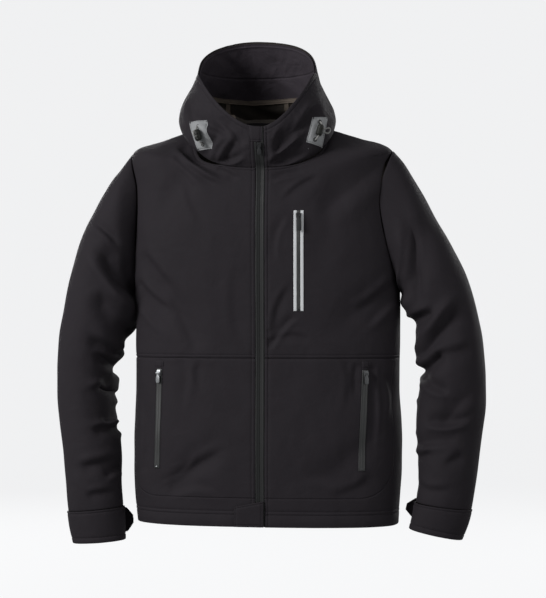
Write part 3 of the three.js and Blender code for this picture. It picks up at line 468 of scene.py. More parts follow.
def sleeve_smooth(side):
    """The sleeve runs from its armhole (ring 0) through its sections."""
    rows = SLEEVE[side]

    def control(k, turn):
        if k == 0:
            return armhole_point(side, turn)
        return section_point(rows, np.full(turn.shape, k - 1.0), turn)

    def surface(turn, ring):
        turn, ring = np.broadcast_arrays(np.asarray(turn, float) % 1, np.asarray(ring, float))
        points = np.empty(turn.shape + (3,))
        which = np.clip(np.floor(ring).astype(int), 0, SLEEVE_RINGS - 1)
        for i in np.unique(which):
            here = which == i
            u, f = turn[here], (ring[here] - i)[:, None]
            p1, p2 = control(i, u), control(i + 1, u)
            p0 = control(i - 1, u) if i > 0 else 2 * p1 - p2
            p3 = control(i + 2, u) if i < SLEEVE_RINGS - 1 else 2 * p2 - p1
            f2, f3 = f * f, f ** 3
            points[here] = ((2 * f3 - 3 * f2 + 1) * p1 + (f3 - 2 * f2 + f) * (p2 - p0) / 2
                            + (3 * f2 - 2 * f3) * p2 + (f3 - f2) * (p3 - p1) / 2)
        return points

    return surface


def surface_normals(surface, u, v, out=1, step=1e-3):
    du = surface(u + step, v) - surface(u - step, v)
    dv = surface(u, v + step) - surface(u, v - step)
    normals = np.cross(du, dv)
    return out * normals / np.linalg.norm(normals, axis=-1, keepdims=True)


def find_spot(surface, x, z, start_s, start_t, rounds=14):
    """Where a surface lies at x and z in the front view."""
    x, z = np.broadcast_arrays(np.asarray(x, float), np.asarray(z, float))
    s = np.broadcast_to(start_s, x.shape).astype(float)
    t = np.broadcast_to(start_t, x.shape).astype(float)
    step = 1e-3
    for _ in range(rounds):
        p = surface(s, t)
        ps = (surface(s + step, t) - p) / step
        pt = (surface(s, t + step) - p) / step
        ex, ez = x - p[..., 0], z - p[..., 2]
        det = ps[..., 0] * pt[..., 2] - pt[..., 0] * ps[..., 2]
        s = s + np.clip((ex * pt[..., 2] - pt[..., 0] * ez) / det, -0.2, 0.2)
        t = t + np.clip((ps[..., 0] * ez - ex * ps[..., 2]) / det, -0.8, 0.8)
    return s, t


def body_spot(x, z):
    near = np.clip(np.asarray(x) / 250, -0.95, 0.95)
    return find_spot(body_smooth, x, z, near, 4 + (np.asarray(z) + 426) / 65)


# Soft unevenness of worn cloth: waves of mixed lengths and directions, the same on every run
WAVES = np.random.default_rng(11)
WAVE_LENGTHS = np.array([150, 120, 95, 80, 66, 54, 44, 36, 30, 25.0])
WAVE_WAYS = WAVES.normal(size=(len(WAVE_LENGTHS), 3))
WAVE_WAYS /= np.linalg.norm(WAVE_WAYS, axis=1, keepdims=True)
WAVE_SHIFTS = WAVES.uniform(0, 2 * np.pi, len(WAVE_LENGTHS))


def unevenness(points):
    total = np.zeros(points.shape[:-1])
    for length, way, shift in zip(WAVE_LENGTHS, WAVE_WAYS, WAVE_SHIFTS):
        total += 0.0028 * length * np.sin(points @ way * 2 * np.pi / length + shift)
    return total


# How the edge of a cloth piece is sewn: how far it dips into the seam and over what reach, the
# distances of its stitch lines, how thick its folded allowance stands, and whether it is a free edge
EDGE = ("dip", "reach", "lines", "allowance", "free")
CUT = dict(zip(EDGE, (0.35, 0.8, (), 0, False)))
SEAM = dict(zip(EDGE, (0.55, 1.3, (), 0, False)))
WAIST_SEAM = dict(zip(EDGE, (1.7, 1.5, (), 0, False)))
FINE_EDGE = dict(zip(EDGE, (0.25, 0.6, (), 0, True)))


def stitched(*lines, free=False, dip=1.1, allowance=0.45):
    return dict(zip(EDGE, (0.5 if free else dip, 1.2 if free else 2.2, lines, allowance, free)))


GROOVE = 1.0
GROOVE_REACH = 1.15


def edge_marks(edge):
    """Distances from an edge at which the cloth needs a grid line."""
    marks = {0.0}
    if edge["dip"] > 0.5:
        marks |= {0.8, 1.7, 3.0}
    else:
        marks |= {0.5, 1.2}
    for line in edge["lines"]:
        marks |= {line - 1.6, line - 0.8, line, line + 0.8, line + 1.6}
    marks = sorted(m for m in marks if m >= 0)
    kept = [marks[0]]
    for m in marks[1:]:
        if m - kept[-1] > 0.35 or m in edge["lines"]:
            kept.append(m)
    return kept


def edge_offset(edge, away):
    """How far the cloth stands out at a distance from an edge."""
    total = -edge["dip"] * np.exp(-(away / edge["reach"]) ** 2)
    for line in edge["lines"]:
        total -= GROOVE * np.exp(-((away - line) / GROOVE_REACH) ** 2)
    if edge["lines"] and edge["allowance"]:
        last = edge["lines"][-1]
        total += edge["allowance"] / (1 + np.exp((away - last) / 0.5))
        pucker = np.exp(-((away - last - 1.5) / 6) ** 2)
        return total, pucker
    return total, 0.35 * np.exp(-(away / 6) ** 2) if edge["dip"] > 0.5 else 0


PUCKER = 0.16
PUCKER_LENGTH = 13.0


def grid_normals(points, out, closed):
    if closed:
        du = np.roll(points, -1, 1) - np.roll(points, 1, 1)
    else:
        du = np.gradient(points, axis=1)
    normals = np.cross(du, np.gradient(points, axis=0))
    return out * normals / np.linalg.norm(normals, axis=-1, keepdims=True)


def spaced(length, spacing, first, second):
    """Grid lines from one edge to the other: a share for the middle ones, millimetres by the edges."""
    low, high = edge_marks(first), edge_marks(second)
    inner = length - low[-1] - high[-1]
    count = max(1, int(round(inner / spacing)))
    middle = np.arange(1, count) / count
    return np.array(low), middle, np.array(high[::-1])


def placed(lines, length):
    """Distances of the grid lines along stretches of the given lengths."""
    low, middle, high = lines
    length = np.asarray(length, float)[..., None]
    inner = length - low[-1] - high[0]
    return np.concatenate([
        np.broadcast_to(low, length.shape[:-1] + low.shape), low[-1] + inner * middle,
        length - np.broadcast_to(high, length.shape[:-1] + high.shape),
    ], axis=-1)


stitch_lines = {}


def new_object(name, points, faces, uv=None, face_slots=None, materials=(), metres=False):
    mesh = bpy.data.meshes.new(name)
    scaled = points if metres else points * MM
    mesh.from_pydata(scaled.tolist(), [], faces.tolist() if hasattr(faces, "tolist") else faces)
    for material in materials:
        mesh.materials.append(material)
    if face_slots is not None:
        mesh.polygons.foreach_set("material_index", np.asarray(face_slots, np.int32))
    if uv is not None:
        layer = mesh.uv_layers.new(name="UVMap")
        layer.data.foreach_set("uv", (uv * MM).astype(np.float32).ravel())
    mesh.shade_smooth()
    mesh.update()
    obj = bpy.data.objects.new(name, mesh)
    bpy.context.scene.collection.objects.link(obj)
    return obj


LEAST_CUT_SHARE = 0.301


def cloth(name, surface, materials, *, thickness=SHELL, lift=0.0, out=1, closed=False,
          edges=(CUT, CUT, CUT, CUT), spacing=(4.0, 4.0), folds=None, relief=None, uneven=1.0,
          stitches="body_stitching", node=None):
    """A sewn piece over a surface of two shares: outer and inner face, joined round its edges.

    Edges are given at u 0, u 1, v 0 and v 1. Its grid follows the edges, so seams and stitch lines are
    crisp. Materials are the outer and the inner one.
    """
    dense_u, dense_v = np.linspace(0, 1, 25), np.linspace(0, 1, 81)
    dense = surface(dense_u[None, :], dense_v[:, None])
    along_v = np.zeros(dense.shape[:2])
    along_v[1:] = np.cumsum(np.linalg.norm(np.diff(dense, axis=0), axis=2), axis=0)
    along_u = np.zeros(dense.shape[:2])
    along_u[:, 1:] = np.cumsum(np.linalg.norm(np.diff(dense, axis=1), axis=2), axis=1)
    wide, tall = along_u[:, -1], along_v[-1]
    lines_v = spaced(tall.mean(), spacing[1], edges[2], edges[3])
    if closed:
        count = int(round(wide.mean() / spacing[0]))
        nominal = np.arange(count) / count
    else:
        lines_u = spaced(wide.mean(), spacing[0], edges[0], edges[1])
        nominal = placed(lines_u, wide.mean()) / wide.mean()
    heights = np.stack([np.interp(nominal, dense_u, row) for row in along_v])
    v = np.empty((len(placed(lines_v, 1.0)), len(nominal)))
    from_foot = np.empty_like(v)
    for i in range(len(nominal)):
        from_foot[:, i] = placed(lines_v, heights[-1, i])
        v[:, i] = np.interp(from_foot[:, i], heights[:, i], dense_v)
    to_top = heights[-1] - from_foot
    if closed:
        u = np.broadcast_to(nominal, v.shape)
        from_start = u * wide.mean()
    else:
        row_wide = np.interp(v, dense_v, wide)
        from_start = np.empty_like(v)
        for j in range(len(v)):
            widths = np.array([placed(lines_u, w)[i] for i, w in enumerate(row_wide[j])])
            from_start[j] = widths
        u = np.empty_like(v)
        for j in range(len(v)):
            k = np.clip(np.searchsorted(dense_v, v[j]) - 1, 0, len(dense_v) - 2)
            f = (v[j] - dense_v[k]) / (dense_v[k + 1] - dense_v[k])
            for i in range(v.shape[1]):
                run = lerp(along_u[k[i]], along_u[k[i] + 1], f[i])
                u[j, i] = np.interp(from_start[j, i], run, dense_u)
        to_end = row_wide - from_start
    points = surface(u, v)
    normals = grid_normals(points, out, closed)
    if folds is not None:
        points = points - normals * folds(points, normals, u, v)[..., None]
    normals = grid_normals(points, out, closed)
    offset = np.zeros(v.shape)
    pucker = np.zeros(v.shape)
    nearness = [(edges[2], from_foot), (edges[3], to_top)]
    if not closed:
        nearness += [(edges[0], from_start), (edges[1], to_end)]
    for k, (edge, away) in enumerate(nearness):
        stand, puckered = edge_offset(edge, away)
        offset += stand
        along = from_start if k < 2 else from_foot
        pucker += puckered * np.sin(along * 2 * np.pi / PUCKER_LENGTH + 1.3 * np.sin(along / 31))
    offset += PUCKER * pucker * uneven
    offset += unevenness(points) * uneven
    if relief is not None:
        offset += relief(from_start, from_foot)
    outer = points + normals * (lift + offset)[..., None]
    inner = points + normals * (lift + offset - thickness)[..., None]
    for k, (edge, _) in enumerate(nearness):
        if edge["lines"] and stitches:
            for line in edge["lines"]:
                add_stitch_line(stitches, outer, normals, edge, line, k, closed)
    obj = sewn_object(name + "_cloth", outer, inner, from_start, from_foot, edges, closed, out, thickness,
                      materials)
    finish_piece(obj, node or name)
    area = np.linalg.norm(np.cross(np.diff(outer, axis=0)[:, :-1], np.diff(outer, axis=1)[:-1]), axis=2).sum()
    if closed:
        area *= len(nominal) / (len(nominal) - 1)
    flat = (float(wide.max() * MM), float(tall.max() * MM))
    # A sheet's area is kept between LEAST_CUT_SHARE of its flat rectangle and the whole rectangle.
    # A sheet's area is kept within the share of its rectangle that a declared sheet may have.
    area = float(np.clip(area * MM ** 2, LEAST_CUT_SHARE * flat[0] * flat[1], flat[0] * flat[1]))
    return obj


def add_stitch_line(group, outer, normals, edge, line, k, closed):
    """Keeps the grid line that a row of stitches follows."""
    marks = edge_marks(edge)
    at = marks.index(line)
    if k < 2:
        j = at if k == 0 else outer.shape[0] - 1 - at
        path, ways = outer[j], normals[j]
        if closed:
            path, ways = np.vstack([path, path[:1]]), np.vstack([ways, ways[:1]])
    else:
        i = at if k == 2 else outer.shape[1] - 1 - at
        path, ways = outer[:, i], normals[:, i]
    inset = 0 if closed and k < 2 else 2
    stop = len(path) - inset
    stitch_lines.setdefault(group, []).append((path[inset:stop], ways[inset:stop]))


def sewn_object(name, outer, inner, from_start, from_foot, edges, closed, out, thickness, materials):
    """Closed shell of an outer and an inner grid, with a rounded rim on every edge."""
    rows, columns = outer.shape[:2]
    spans = columns if closed else columns - 1
    points = [outer.reshape(-1, 3), inner.reshape(-1, 3)]
    count = rows * columns
    index = np.arange(count).reshape(rows, columns)
    right = np.roll(index, -1, axis=1)
    a, b = index[:-1, :spans], right[:-1, :spans]
    c, d = right[1:, :spans], index[1:, :spans]
    faces = [np.stack([a, b, c, d], axis=-1).reshape(-1, 4),
             np.stack([a, d, c, b], axis=-1).reshape(-1, 4) + count]
    slots = [np.zeros(len(faces[0])), np.ones(len(faces[1]))]
    rims = [(index[0], edges[2], 0, 1), (index[-1], edges[3], -1, -1)]
    if not closed:
        rims += [(index[:, 0], edges[0], 0, -1), (index[:, -1], edges[1], -1, 1)]
    base = 2 * count
    flat_outer, flat_inner = points
    for n, (ids, edge, end, turn) in enumerate(rims):
        if n < 2:
            away = outer[0] - outer[1] if end == 0 else outer[-1] - outer[-2]
        else:
            away = outer[:, 0] - outer[:, 1] if end == 0 else outer[:, -1] - outer[:, -2]
        away = away / np.linalg.norm(away, axis=1, keepdims=True)
        bulge = thickness * (0.32 if edge["free"] else 0.05)
        middle = (flat_outer[ids] + flat_inner[ids]) / 2 + away * bulge
        points.append(middle)
        mids = base + np.arange(len(ids))
        base += len(ids)
        ids_next, mids_next = np.roll(ids, -1), np.roll(mids, -1)
        stop = len(ids) if closed else len(ids) - 1
        first = np.stack([ids, mids, mids_next, ids_next], axis=-1)[:stop]
        second = np.stack([mids, ids + count, ids_next + count, mids_next], axis=-1)[:stop]
        rim = np.vstack([first, second])
        faces.append(rim if turn > 0 else rim[:, ::-1])
        slots.append(np.zeros(len(rim)))
    if not closed:
        corners = corner_faces(rows, columns, count, index)
        faces.append(corners)
        slots.append(np.zeros(len(corners)))
    faces = np.vstack(faces)
    if out < 0:
        faces = faces[:, ::-1]
    all_points = np.vstack(points)
    flat_uv = np.stack([from_start, from_foot], axis=-1).reshape(-1, 2)
    uv_points = np.zeros((len(all_points), 2))
    uv_points[:count] = flat_uv
    uv_points[count:2 * count] = flat_uv
    at = 2 * count
    for ids, _, _, _ in rims:
        uv_points[at:at + len(ids)] = flat_uv[ids]
        at += len(ids)
    uv = uv_points[faces]
    if closed:
        span = from_start.max() + (from_start[0, 1] - from_start[0, 0])
        wrapped = uv[..., 0].max(axis=1) - uv[..., 0].min(axis=1) > span / 2
        low = uv[wrapped][..., 0] < span / 2
        patch = uv[wrapped]
        patch[..., 0] = np.where(low, patch[..., 0] + span, patch[..., 0])
        uv[wrapped] = patch
    return new_object(name, all_points, faces, uv.reshape(-1, 2), np.concatenate(slots), materials)


def corner_faces(rows, columns, count, index):
    """The two small triangles at each corner, as four-cornered faces with a repeated middle row."""
    foot = 2 * count
    top = foot + columns
    start = top + columns
    end = start + rows
    corners = [
        (index[0, 0], foot, index[0, 0] + count, start),
        (index[0, -1], end, index[0, -1] + count, foot + columns - 1),
        (index[-1, 0], start + rows - 1, index[-1, 0] + count, top),
        (index[-1, -1], top + columns - 1, index[-1, -1] + count, end + rows - 1),
    ]
    return np.array(corners)


def finish_piece(obj, nodes, body=BODY_NAME):
    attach(obj, body)
    names = [nodes] if isinstance(nodes, str) else list(nodes)
    if names:
        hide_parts(*names)


# Shader groups that several finishes share
def new_group(name, inputs, outputs):
    tree = bpy.data.node_groups.new(name, "ShaderNodeTree")
    for label, kind, value in inputs:
        socket = tree.interface.new_socket(label, in_out="INPUT", socket_type=kind)
        if value is not None:
            socket.default_value = value
    for label, kind in outputs:
        tree.interface.new_socket(label, in_out="OUTPUT", socket_type=kind)
    return tree, tree.nodes.new("NodeGroupInput"), tree.nodes.new("NodeGroupOutput")


def math_node(tree, operation, *values):
    node = tree.nodes.new("ShaderNodeMath")
    node.operation = operation
    for k, value in enumerate(values):
        if isinstance(value, (int, float)):
            node.inputs[k].default_value = value
        else:
            tree.links.new(value, node.inputs[k])
    return node.outputs[0]


def noise_node(tree, vector, scale, detail=3.0, roughness=0.55):
    node = tree.nodes.new("ShaderNodeTexNoise")
    node.inputs["Scale"].default_value = scale
    node.inputs["Detail"].default_value = detail
    node.inputs["Roughness"].default_value = roughness
    tree.links.new(vector, node.inputs["Vector"])
    return node.outputs["Fac"]


def weave_group():
    """Fine plain weave on a piece's own UV map, in metres."""
    tree, given, made = new_group(
        "plain_weave",
        (("Vector", "NodeSocketVector", None), ("Thread Pitch", "NodeSocketFloat", 0.0007)),
        (("Height", "NodeSocketFloat"),))
    apart = tree.nodes.new("ShaderNodeSeparateXYZ")
    tree.links.new(given.outputs["Vector"], apart.inputs[0])
    pace = math_node(tree, "DIVIDE", 2 * math.pi, given.outputs["Thread Pitch"])
    across = math_node(tree, "SINE", math_node(tree, "MULTIPLY", apart.outputs["X"], pace))
    along = math_node(tree, "SINE", math_node(tree, "MULTIPLY", apart.outputs["Y"], pace))
    crossed = math_node(tree, "MULTIPLY", across, along)
    uneven = noise_node(tree, given.outputs["Vector"], 900.0, 2.0)
    total = math_node(tree, "MULTIPLY_ADD", uneven, 0.9, crossed)
    tree.links.new(total, made.inputs["Height"])
    return tree


def mottle_group():
    """Slow and fine changes of tone on Object coordinates, about 0.5."""
    tree, given, made = new_group(
        "mottle",
        (("Vector", "NodeSocketVector", None), ("Broad", "NodeSocketFloat", 9.0),
         ("Fine", "NodeSocketFloat", 420.0)),
        (("Tone", "NodeSocketFloat"),))
    broad = tree.nodes.new("ShaderNodeTexNoise")
    tree.links.new(given.outputs["Vector"], broad.inputs["Vector"])
    tree.links.new(given.outputs["Broad"], broad.inputs["Scale"])
    fine = tree.nodes.new("ShaderNodeTexNoise")
    fine.inputs["Detail"].default_value = 2.0
    tree.links.new(given.outputs["Vector"], fine.inputs["Vector"])
    tree.links.new(given.outputs["Fine"], fine.inputs["Scale"])
    half = math_node(tree, "MULTIPLY", broad.outputs["Fac"], 0.55)
    total = math_node(tree, "MULTIPLY_ADD", fine.outputs["Fac"], 0.45, half)
    tree.links.new(total, made.inputs["Tone"])
    return tree


def crumple_group():
    """Shallow creases a few millimetres to a few centimetres apart, as a height of about 0 to 1."""
    tree, given, made = new_group(
        "crumple",
        (("Vector", "NodeSocketVector", None), ("Scale", "NodeSocketFloat", 28.0)),
        (("Height", "NodeSocketFloat"),))
    bend = tree.nodes.new("ShaderNodeTexNoise")
    bend.inputs["Detail"].default_value = 3.0
    bend.inputs["Roughness"].default_value = 0.45
    bend.inputs["Distortion"].default_value = 0.4
    tree.links.new(given.outputs["Vector"], bend.inputs["Vector"])
    tree.links.new(given.outputs["Scale"], bend.inputs["Scale"])
    tree.links.new(bend.outputs["Fac"], made.inputs["Height"])
    return tree


def groove_group():
    """A stitched groove where a distance is 0: 0 in the groove and 1 away from it."""
    tree, given, made = new_group(
        "stitched_groove",
        (("Distance", "NodeSocketFloat", 0.0), ("Reach", "NodeSocketFloat", 0.0012)),
        (("Height", "NodeSocketFloat"),))
    ratio = math_node(tree, "DIVIDE", given.outputs["Distance"], given.outputs["Reach"])
    squared = math_node(tree, "MULTIPLY", ratio, ratio)
    dip = math_node(tree, "EXPONENT", math_node(tree, "MULTIPLY", squared, -1.0))
    tree.links.new(math_node(tree, "SUBTRACT", 1.0, dip), made.inputs["Height"])
    return tree


def place_group(tree, group, **links):
    node = tree.nodes.new("ShaderNodeGroup")
    node.node_tree = group
    for label, value in links.items():
        socket = node.inputs[label.replace("_", " ")]
        if isinstance(value, (int, float)):
            socket.default_value = value
        else:
            tree.links.new(value, socket)
    return node.outputs[0]


GROUPS = {}


def shared(name, builder):
    if name not in GROUPS:
        GROUPS[name] = builder()
    return GROUPS[name]


def tone_ramp(tree, factor, dark, light):
    mix = tree.nodes.new("ShaderNodeMix")
    mix.data_type = "RGBA"
    mix.inputs["A"].default_value = (*dark, 1)
    mix.inputs["B"].default_value = (*light, 1)
    tree.links.new(factor, mix.inputs["Factor"])
    return mix.outputs["Result"]


def new_material(name):
    material = bpy.data.materials.new(name)
    material.use_nodes = True
    tree = material.node_tree
    shader = next(n for n in tree.nodes if n.type == "BSDF_PRINCIPLED")
    return material, tree, shader


def bump(tree, shader, layers, previous=None):
    """Adds heights of the given distances, one on another, to the shader's normal."""
    last = previous
    for height, distance, strength in layers:
        node = tree.nodes.new("ShaderNodeBump")
        node.inputs["Distance"].default_value = distance
        node.inputs["Strength"].default_value = strength
        tree.links.new(height, node.inputs["Height"])
        if last is not None:
            tree.links.new(last, node.inputs["Normal"])
        last = node.outputs["Normal"]
    tree.links.new(last, shader.inputs["Normal"])
    return last


def lighter(color, share):
    return tuple(c * share for c in color)


def cloth_finish(name, color, roughness=0.8, sheen=0.008, contrast=0.22, ior=1.24, pitch=0.0007,
                 crumpled=0.55, weave=0.35, groove=None):
    """Woven or brushed cloth: colour that changes slowly, weave, shallow creases and a soft sheen."""
    material, tree, shader = new_material(name)
    where = tree.nodes.new("ShaderNodeTexCoord")
    tone = place_group(tree, shared("mottle", mottle_group), Vector=where.outputs["Object"])
    base = tone_ramp(tree, tone, lighter(color, 1 - contrast), lighter(color, 1 + contrast))
    tree.links.new(base, shader.inputs["Base Color"])
    rough = math_node(tree, "MULTIPLY_ADD", tone, 0.16, roughness - 0.08)
    tree.links.new(rough, shader.inputs["Roughness"])
    shader.inputs["Sheen Weight"].default_value = sheen
    shader.inputs["Sheen Roughness"].default_value = 0.45
    shader.inputs["IOR"].default_value = ior
    creases = place_group(tree, shared("crumple", crumple_group), Vector=where.outputs["Object"])
    threads = place_group(tree, shared("weave", weave_group), Vector=where.outputs["UV"], Thread_Pitch=pitch)
    layers = [(creases, 0.004, crumpled), (threads, 0.00012, weave)]
    if groove is not None:
        layers.insert(0, (groove(tree, where), 0.0011, 1.0))
    bump(tree, shader, layers)
    return material


# The pocket bag's stitch line, from the centre edge and the hem of each lower front, in metres
POCKET_LINE = 0.050
POCKET_SIDE = {"right": 0.236, "left": 0.262}
POCKET_ROUND = 0.070


def pocket_groove(side):
    """Distance to the pocket bag's stitch line: along the foot, round the corner and up the side."""

    def build(tree, where):
        apart = tree.nodes.new("ShaderNodeSeparateXYZ")
        tree.links.new(where.outputs["UV"], apart.inputs[0])
        across = apart.outputs["X"]
        if side == "left":
            across = math_node(tree, "SUBTRACT", LOWER_WIDTH * MM, across)
        corner_x = POCKET_SIDE[side] - POCKET_ROUND
        corner_y = POCKET_LINE + POCKET_ROUND
        past_x = math_node(tree, "MAXIMUM", math_node(tree, "SUBTRACT", across, corner_x), 0.0)
        past_y = math_node(tree, "MAXIMUM", math_node(tree, "SUBTRACT", corner_y, apart.outputs["Y"]), 0.0)
        squares = math_node(tree, "MULTIPLY_ADD", past_x, past_x, math_node(tree, "MULTIPLY", past_y, past_y))
        reach = math_node(tree, "SQRT", squares)
        distance = math_node(tree, "SUBTRACT", reach, POCKET_ROUND)
        return place_group(tree, shared("groove", groove_group), Distance=distance)

    return build


FACING_SEAM = 0.093


def facing_groove(tree, where):
    apart = tree.nodes.new("ShaderNodeSeparateXYZ")
    tree.links.new(where.outputs["Object"], apart.inputs[0])
    distance = math_node(tree, "SUBTRACT", apart.outputs["Z"], FACING_SEAM)
    return place_group(tree, shared("groove", groove_group), Distance=distance, Reach=0.0016)


def hard_finish(name, color, metallic, roughness, scratched=0.25, coat=0.0, grain=600.0, specular=0.5):
    """Moulded plastic or metal with fine grain and a little rubbing."""
    material, tree, shader = new_material(name)
    where = tree.nodes.new("ShaderNodeTexCoord")
    tone = place_group(tree, shared("mottle", mottle_group), Vector=where.outputs["Object"], Broad=60.0,
                       Fine=grain)
    base = tone_ramp(tree, tone, lighter(color, 1 - scratched), lighter(color, 1 + scratched))
    tree.links.new(base, shader.inputs["Base Color"])
    rough = math_node(tree, "MULTIPLY_ADD", tone, 0.3, roughness - 0.15)
    tree.links.new(rough, shader.inputs["Roughness"])
    shader.inputs["Metallic"].default_value = metallic
    shader.inputs["Coat Weight"].default_value = coat
    shader.inputs["Specular IOR Level"].default_value = specular
    fine = place_group(tree, shared("crumple", crumple_group), Vector=where.outputs["Object"], Scale=grain)
    bump(tree, shader, [(fine, 0.0003, 0.25)])
    return material


def ribbed_finish(name, color, pitch, roughness=0.8):
    """Binding tape with two raised cords along it and ribs across."""
    material, tree, shader = new_material(name)
    where = tree.nodes.new("ShaderNodeTexCoord")
    apart = tree.nodes.new("ShaderNodeSeparateXYZ")
    tree.links.new(where.outputs["UV"], apart.inputs[0])
    tone = place_group(tree, shared("mottle", mottle_group), Vector=where.outputs["Object"], Broad=40.0)
    pace = 2 * math.pi / pitch
    ribs = math_node(tree, "SINE", math_node(tree, "MULTIPLY", apart.outputs["X"], pace))
    rows = math_node(tree, "SINE", math_node(tree, "MULTIPLY", apart.outputs["Y"], pace))
    # the colour follows the ribs, lighter on their crests and darker in their troughs as painted shade, over
    # the mottled tone
    tone_and_painted_rib_shade = math_node(tree, "MULTIPLY_ADD", ribs, 0.12, tone)
    base = tone_ramp(tree, tone_and_painted_rib_shade, lighter(color, 0.6), lighter(color, 1.4))
    tree.links.new(base, shader.inputs["Base Color"])
    shader.inputs["Roughness"].default_value = roughness
    bump(tree, shader, [(ribs, 0.0002, 0.6), (rows, 0.0002, 0.4)])
    return material


def colour_property(name, description, value):
    return bpy.props.FloatVectorProperty(name=name, description=description, subtype="COLOR", size=3,
                                         min=0, max=1, default=value)


def length_property(name, description, value):
    return bpy.props.FloatProperty(name=name, description=description, subtype="DISTANCE", unit="LENGTH",
                                   min=0, default=value)


class JacketColours(bpy.types.PropertyGroup):
    """Base colours of the jacket's finishes."""

    shell: colour_property("Shell", "Outer softshell cloth", (0.0152, 0.0128, 0.0156))
    fleece: colour_property("Fleece", "Brushed inner face", (0.040, 0.035, 0.031))
    tape: colour_property("Tape", "Binding and seam tape inside the hood", (0.125, 0.100, 0.080))
    patch: colour_property("Patch", "Hood adjuster patches", (0.225, 0.23, 0.235))
    strip: colour_property("Strip", "Light strips beside the chest zip", (0.50, 0.51, 0.52))
    coated: colour_property("Coated tape", "Coated zip tape", (0.013, 0.0138, 0.0138))
    thread: colour_property("Thread", "Sewing thread", (0.020, 0.0175, 0.021))
    cord: colour_property("Cord", "Elastic hood cord", (0.22, 0.22, 0.21))


class JacketSizes(bpy.types.PropertyGroup):
    """Sizes of what is sewn on and of the stage."""

    stitch_pitch: length_property("Stitch pitch", "From one stitch to the next", 0.0031)
    stitch_length: length_property("Stitch length", "Length of one stitch", 0.0026)
    thread_width: length_property("Thread width", "Width of the sewing thread", 0.00055)
    tooth_pitch: length_property("Tooth pitch", "From one zip tooth to the next", 0.0016)
    floor_height: bpy.props.FloatProperty(
        name="Floor height", description="Height of the floor, below the packed solids", unit="LENGTH",
        default=CAD_BOX[0].z - 0.35)
    light: bpy.props.FloatProperty(name="Light", description="Strength of the soft lights", default=1.0,
                                   min=0)


FINISH = {}


def finish(name):
    """A finish by name, made when it is first asked for."""
    if name in FINISH:
        return FINISH[name]
    colours = bpy.context.scene.jacket_colours
    shell = tuple(colours.shell)
    makers = {
        "shell": lambda: cloth_finish("shell_cloth", shell),
        "shell_pocket_right": lambda: cloth_finish("shell_pocket_right", shell,
                                                   groove=pocket_groove("right")),
        "shell_pocket_left": lambda: cloth_finish("shell_pocket_left", shell, groove=pocket_groove("left")),
        # the hood facing is the shell cloth painted 2.2 times lighter, as painted light inside the hood
        "shell_facing_painted_light": lambda: cloth_finish("shell_facing_painted_light", lighter(shell, 2.2), crumpled=1.3,
                                             groove=facing_groove),
        "shell_hood": lambda: cloth_finish("shell_hood", shell, crumpled=1.3),
        "fleece": lambda: cloth_finish("fleece", tuple(colours.fleece), roughness=0.95, sheen=0.02, ior=1.1,
                                       pitch=0.0018, crumpled=0.3, weave=0.8),
        "tape": lambda: ribbed_finish("binding_tape", tuple(colours.tape), 0.0014),
        "patch": lambda: cloth_finish("patch_cloth", tuple(colours.patch), roughness=0.7, contrast=0.12,
                                      sheen=0.0, crumpled=0.8, weave=0.5),
        "strip": lambda: cloth_finish("light_strip", tuple(colours.strip), roughness=0.5, contrast=0.12,
                                      sheen=0.0, crumpled=0.3, weave=0.2),
        "coated": lambda: hard_finish("coated_tape", tuple(colours.coated), 0.0, 0.46, 0.2, grain=900.0),
        "coated_matte": lambda: hard_finish("coated_tape_matte", lighter(tuple(colours.coated), 0.85), 0.0,
                                            0.6, 0.15, grain=900.0, specular=0.22),
        "thread": lambda: cloth_finish("thread", tuple(colours.thread), roughness=0.6, pitch=0.0003),
        "cord": lambda: cloth_finish("elastic_cord", tuple(colours.cord), roughness=0.75, pitch=0.0006,
                                     weave=0.9),
        "dark_metal": lambda: hard_finish("black_lacquer", (0.012, 0.012, 0.013), 0.2, 0.45, 0.3, coat=0.1,
                                          specular=0.35),
        # one hand zip metal in two copies: a bright one with painted light for the left zip and a darker one
        # with painted shade for the right
        "bright_metal": lambda: hard_finish("satin_metal_painted_lit", (0.30, 0.31, 0.32), 0.85, 0.36, 0.2),
        "painted_shade_metal": lambda: hard_finish("grey_metal_painted_shade", (0.085, 0.087, 0.09), 0.7, 0.5, 0.2),
        "pull": lambda: hard_finish("pull_plastic", (0.016, 0.017, 0.018), 0.0, 0.5, 0.25, specular=0.3),
        "lock": lambda: hard_finish("lock_plastic", (0.0085, 0.009, 0.007), 0.0, 0.5, 0.3, specular=0.25),
        "tooth": lambda: hard_finish("zip_tooth", (0.030, 0.031, 0.032), 0.0, 0.35, 0.2),
    }
    FINISH[name] = makers[name]()
    return FINISH[name]


def shell_pair():
    return finish("shell"), finish("fleece")


def scoop(t):
    tau = np.clip((t - UNDERARM_ROW) / (SHOULDER_ROW - UNDERARM_ROW), 0, 1)
    return np.sqrt(np.maximum(0, 1 - (2 * tau - 1) ** 2))


def zip_share(t, rows=BODY):
    shape = np.shape(t)
    return share_of(rows_at(rows, np.ravel(t)), ZIP_HALF + SEAM_GAP).reshape(shape)


def panel_edge(name, t):
    """Where a body panel ends, as a place round the ring."""
    if name == "zip_right":
        return zip_share(t)
    if name == "zip_left":
        return -zip_share(t)
    if name == "right":
        return 1 - ARMHOLE["right"]["fore"] * scoop(t) - HAIRLINE
    if name == "left":
        return -1 + ARMHOLE["left"]["fore"] * scoop(t) + HAIRLINE
    if name == "back_right":
        return 1 + ARMHOLE["right"]["aft"] * scoop(t) + HAIRLINE
    return 3 - ARMHOLE["left"]["aft"] * scoop(t) - HAIRLINE


def body_panel(first, second, low, high):
    def surface(u, v):
        u, v = np.broadcast_arrays(u, v)
        t = lerp(low, high, v)
        return body_smooth(lerp(panel_edge(first, t), panel_edge(second, t), u), t)

    return surface


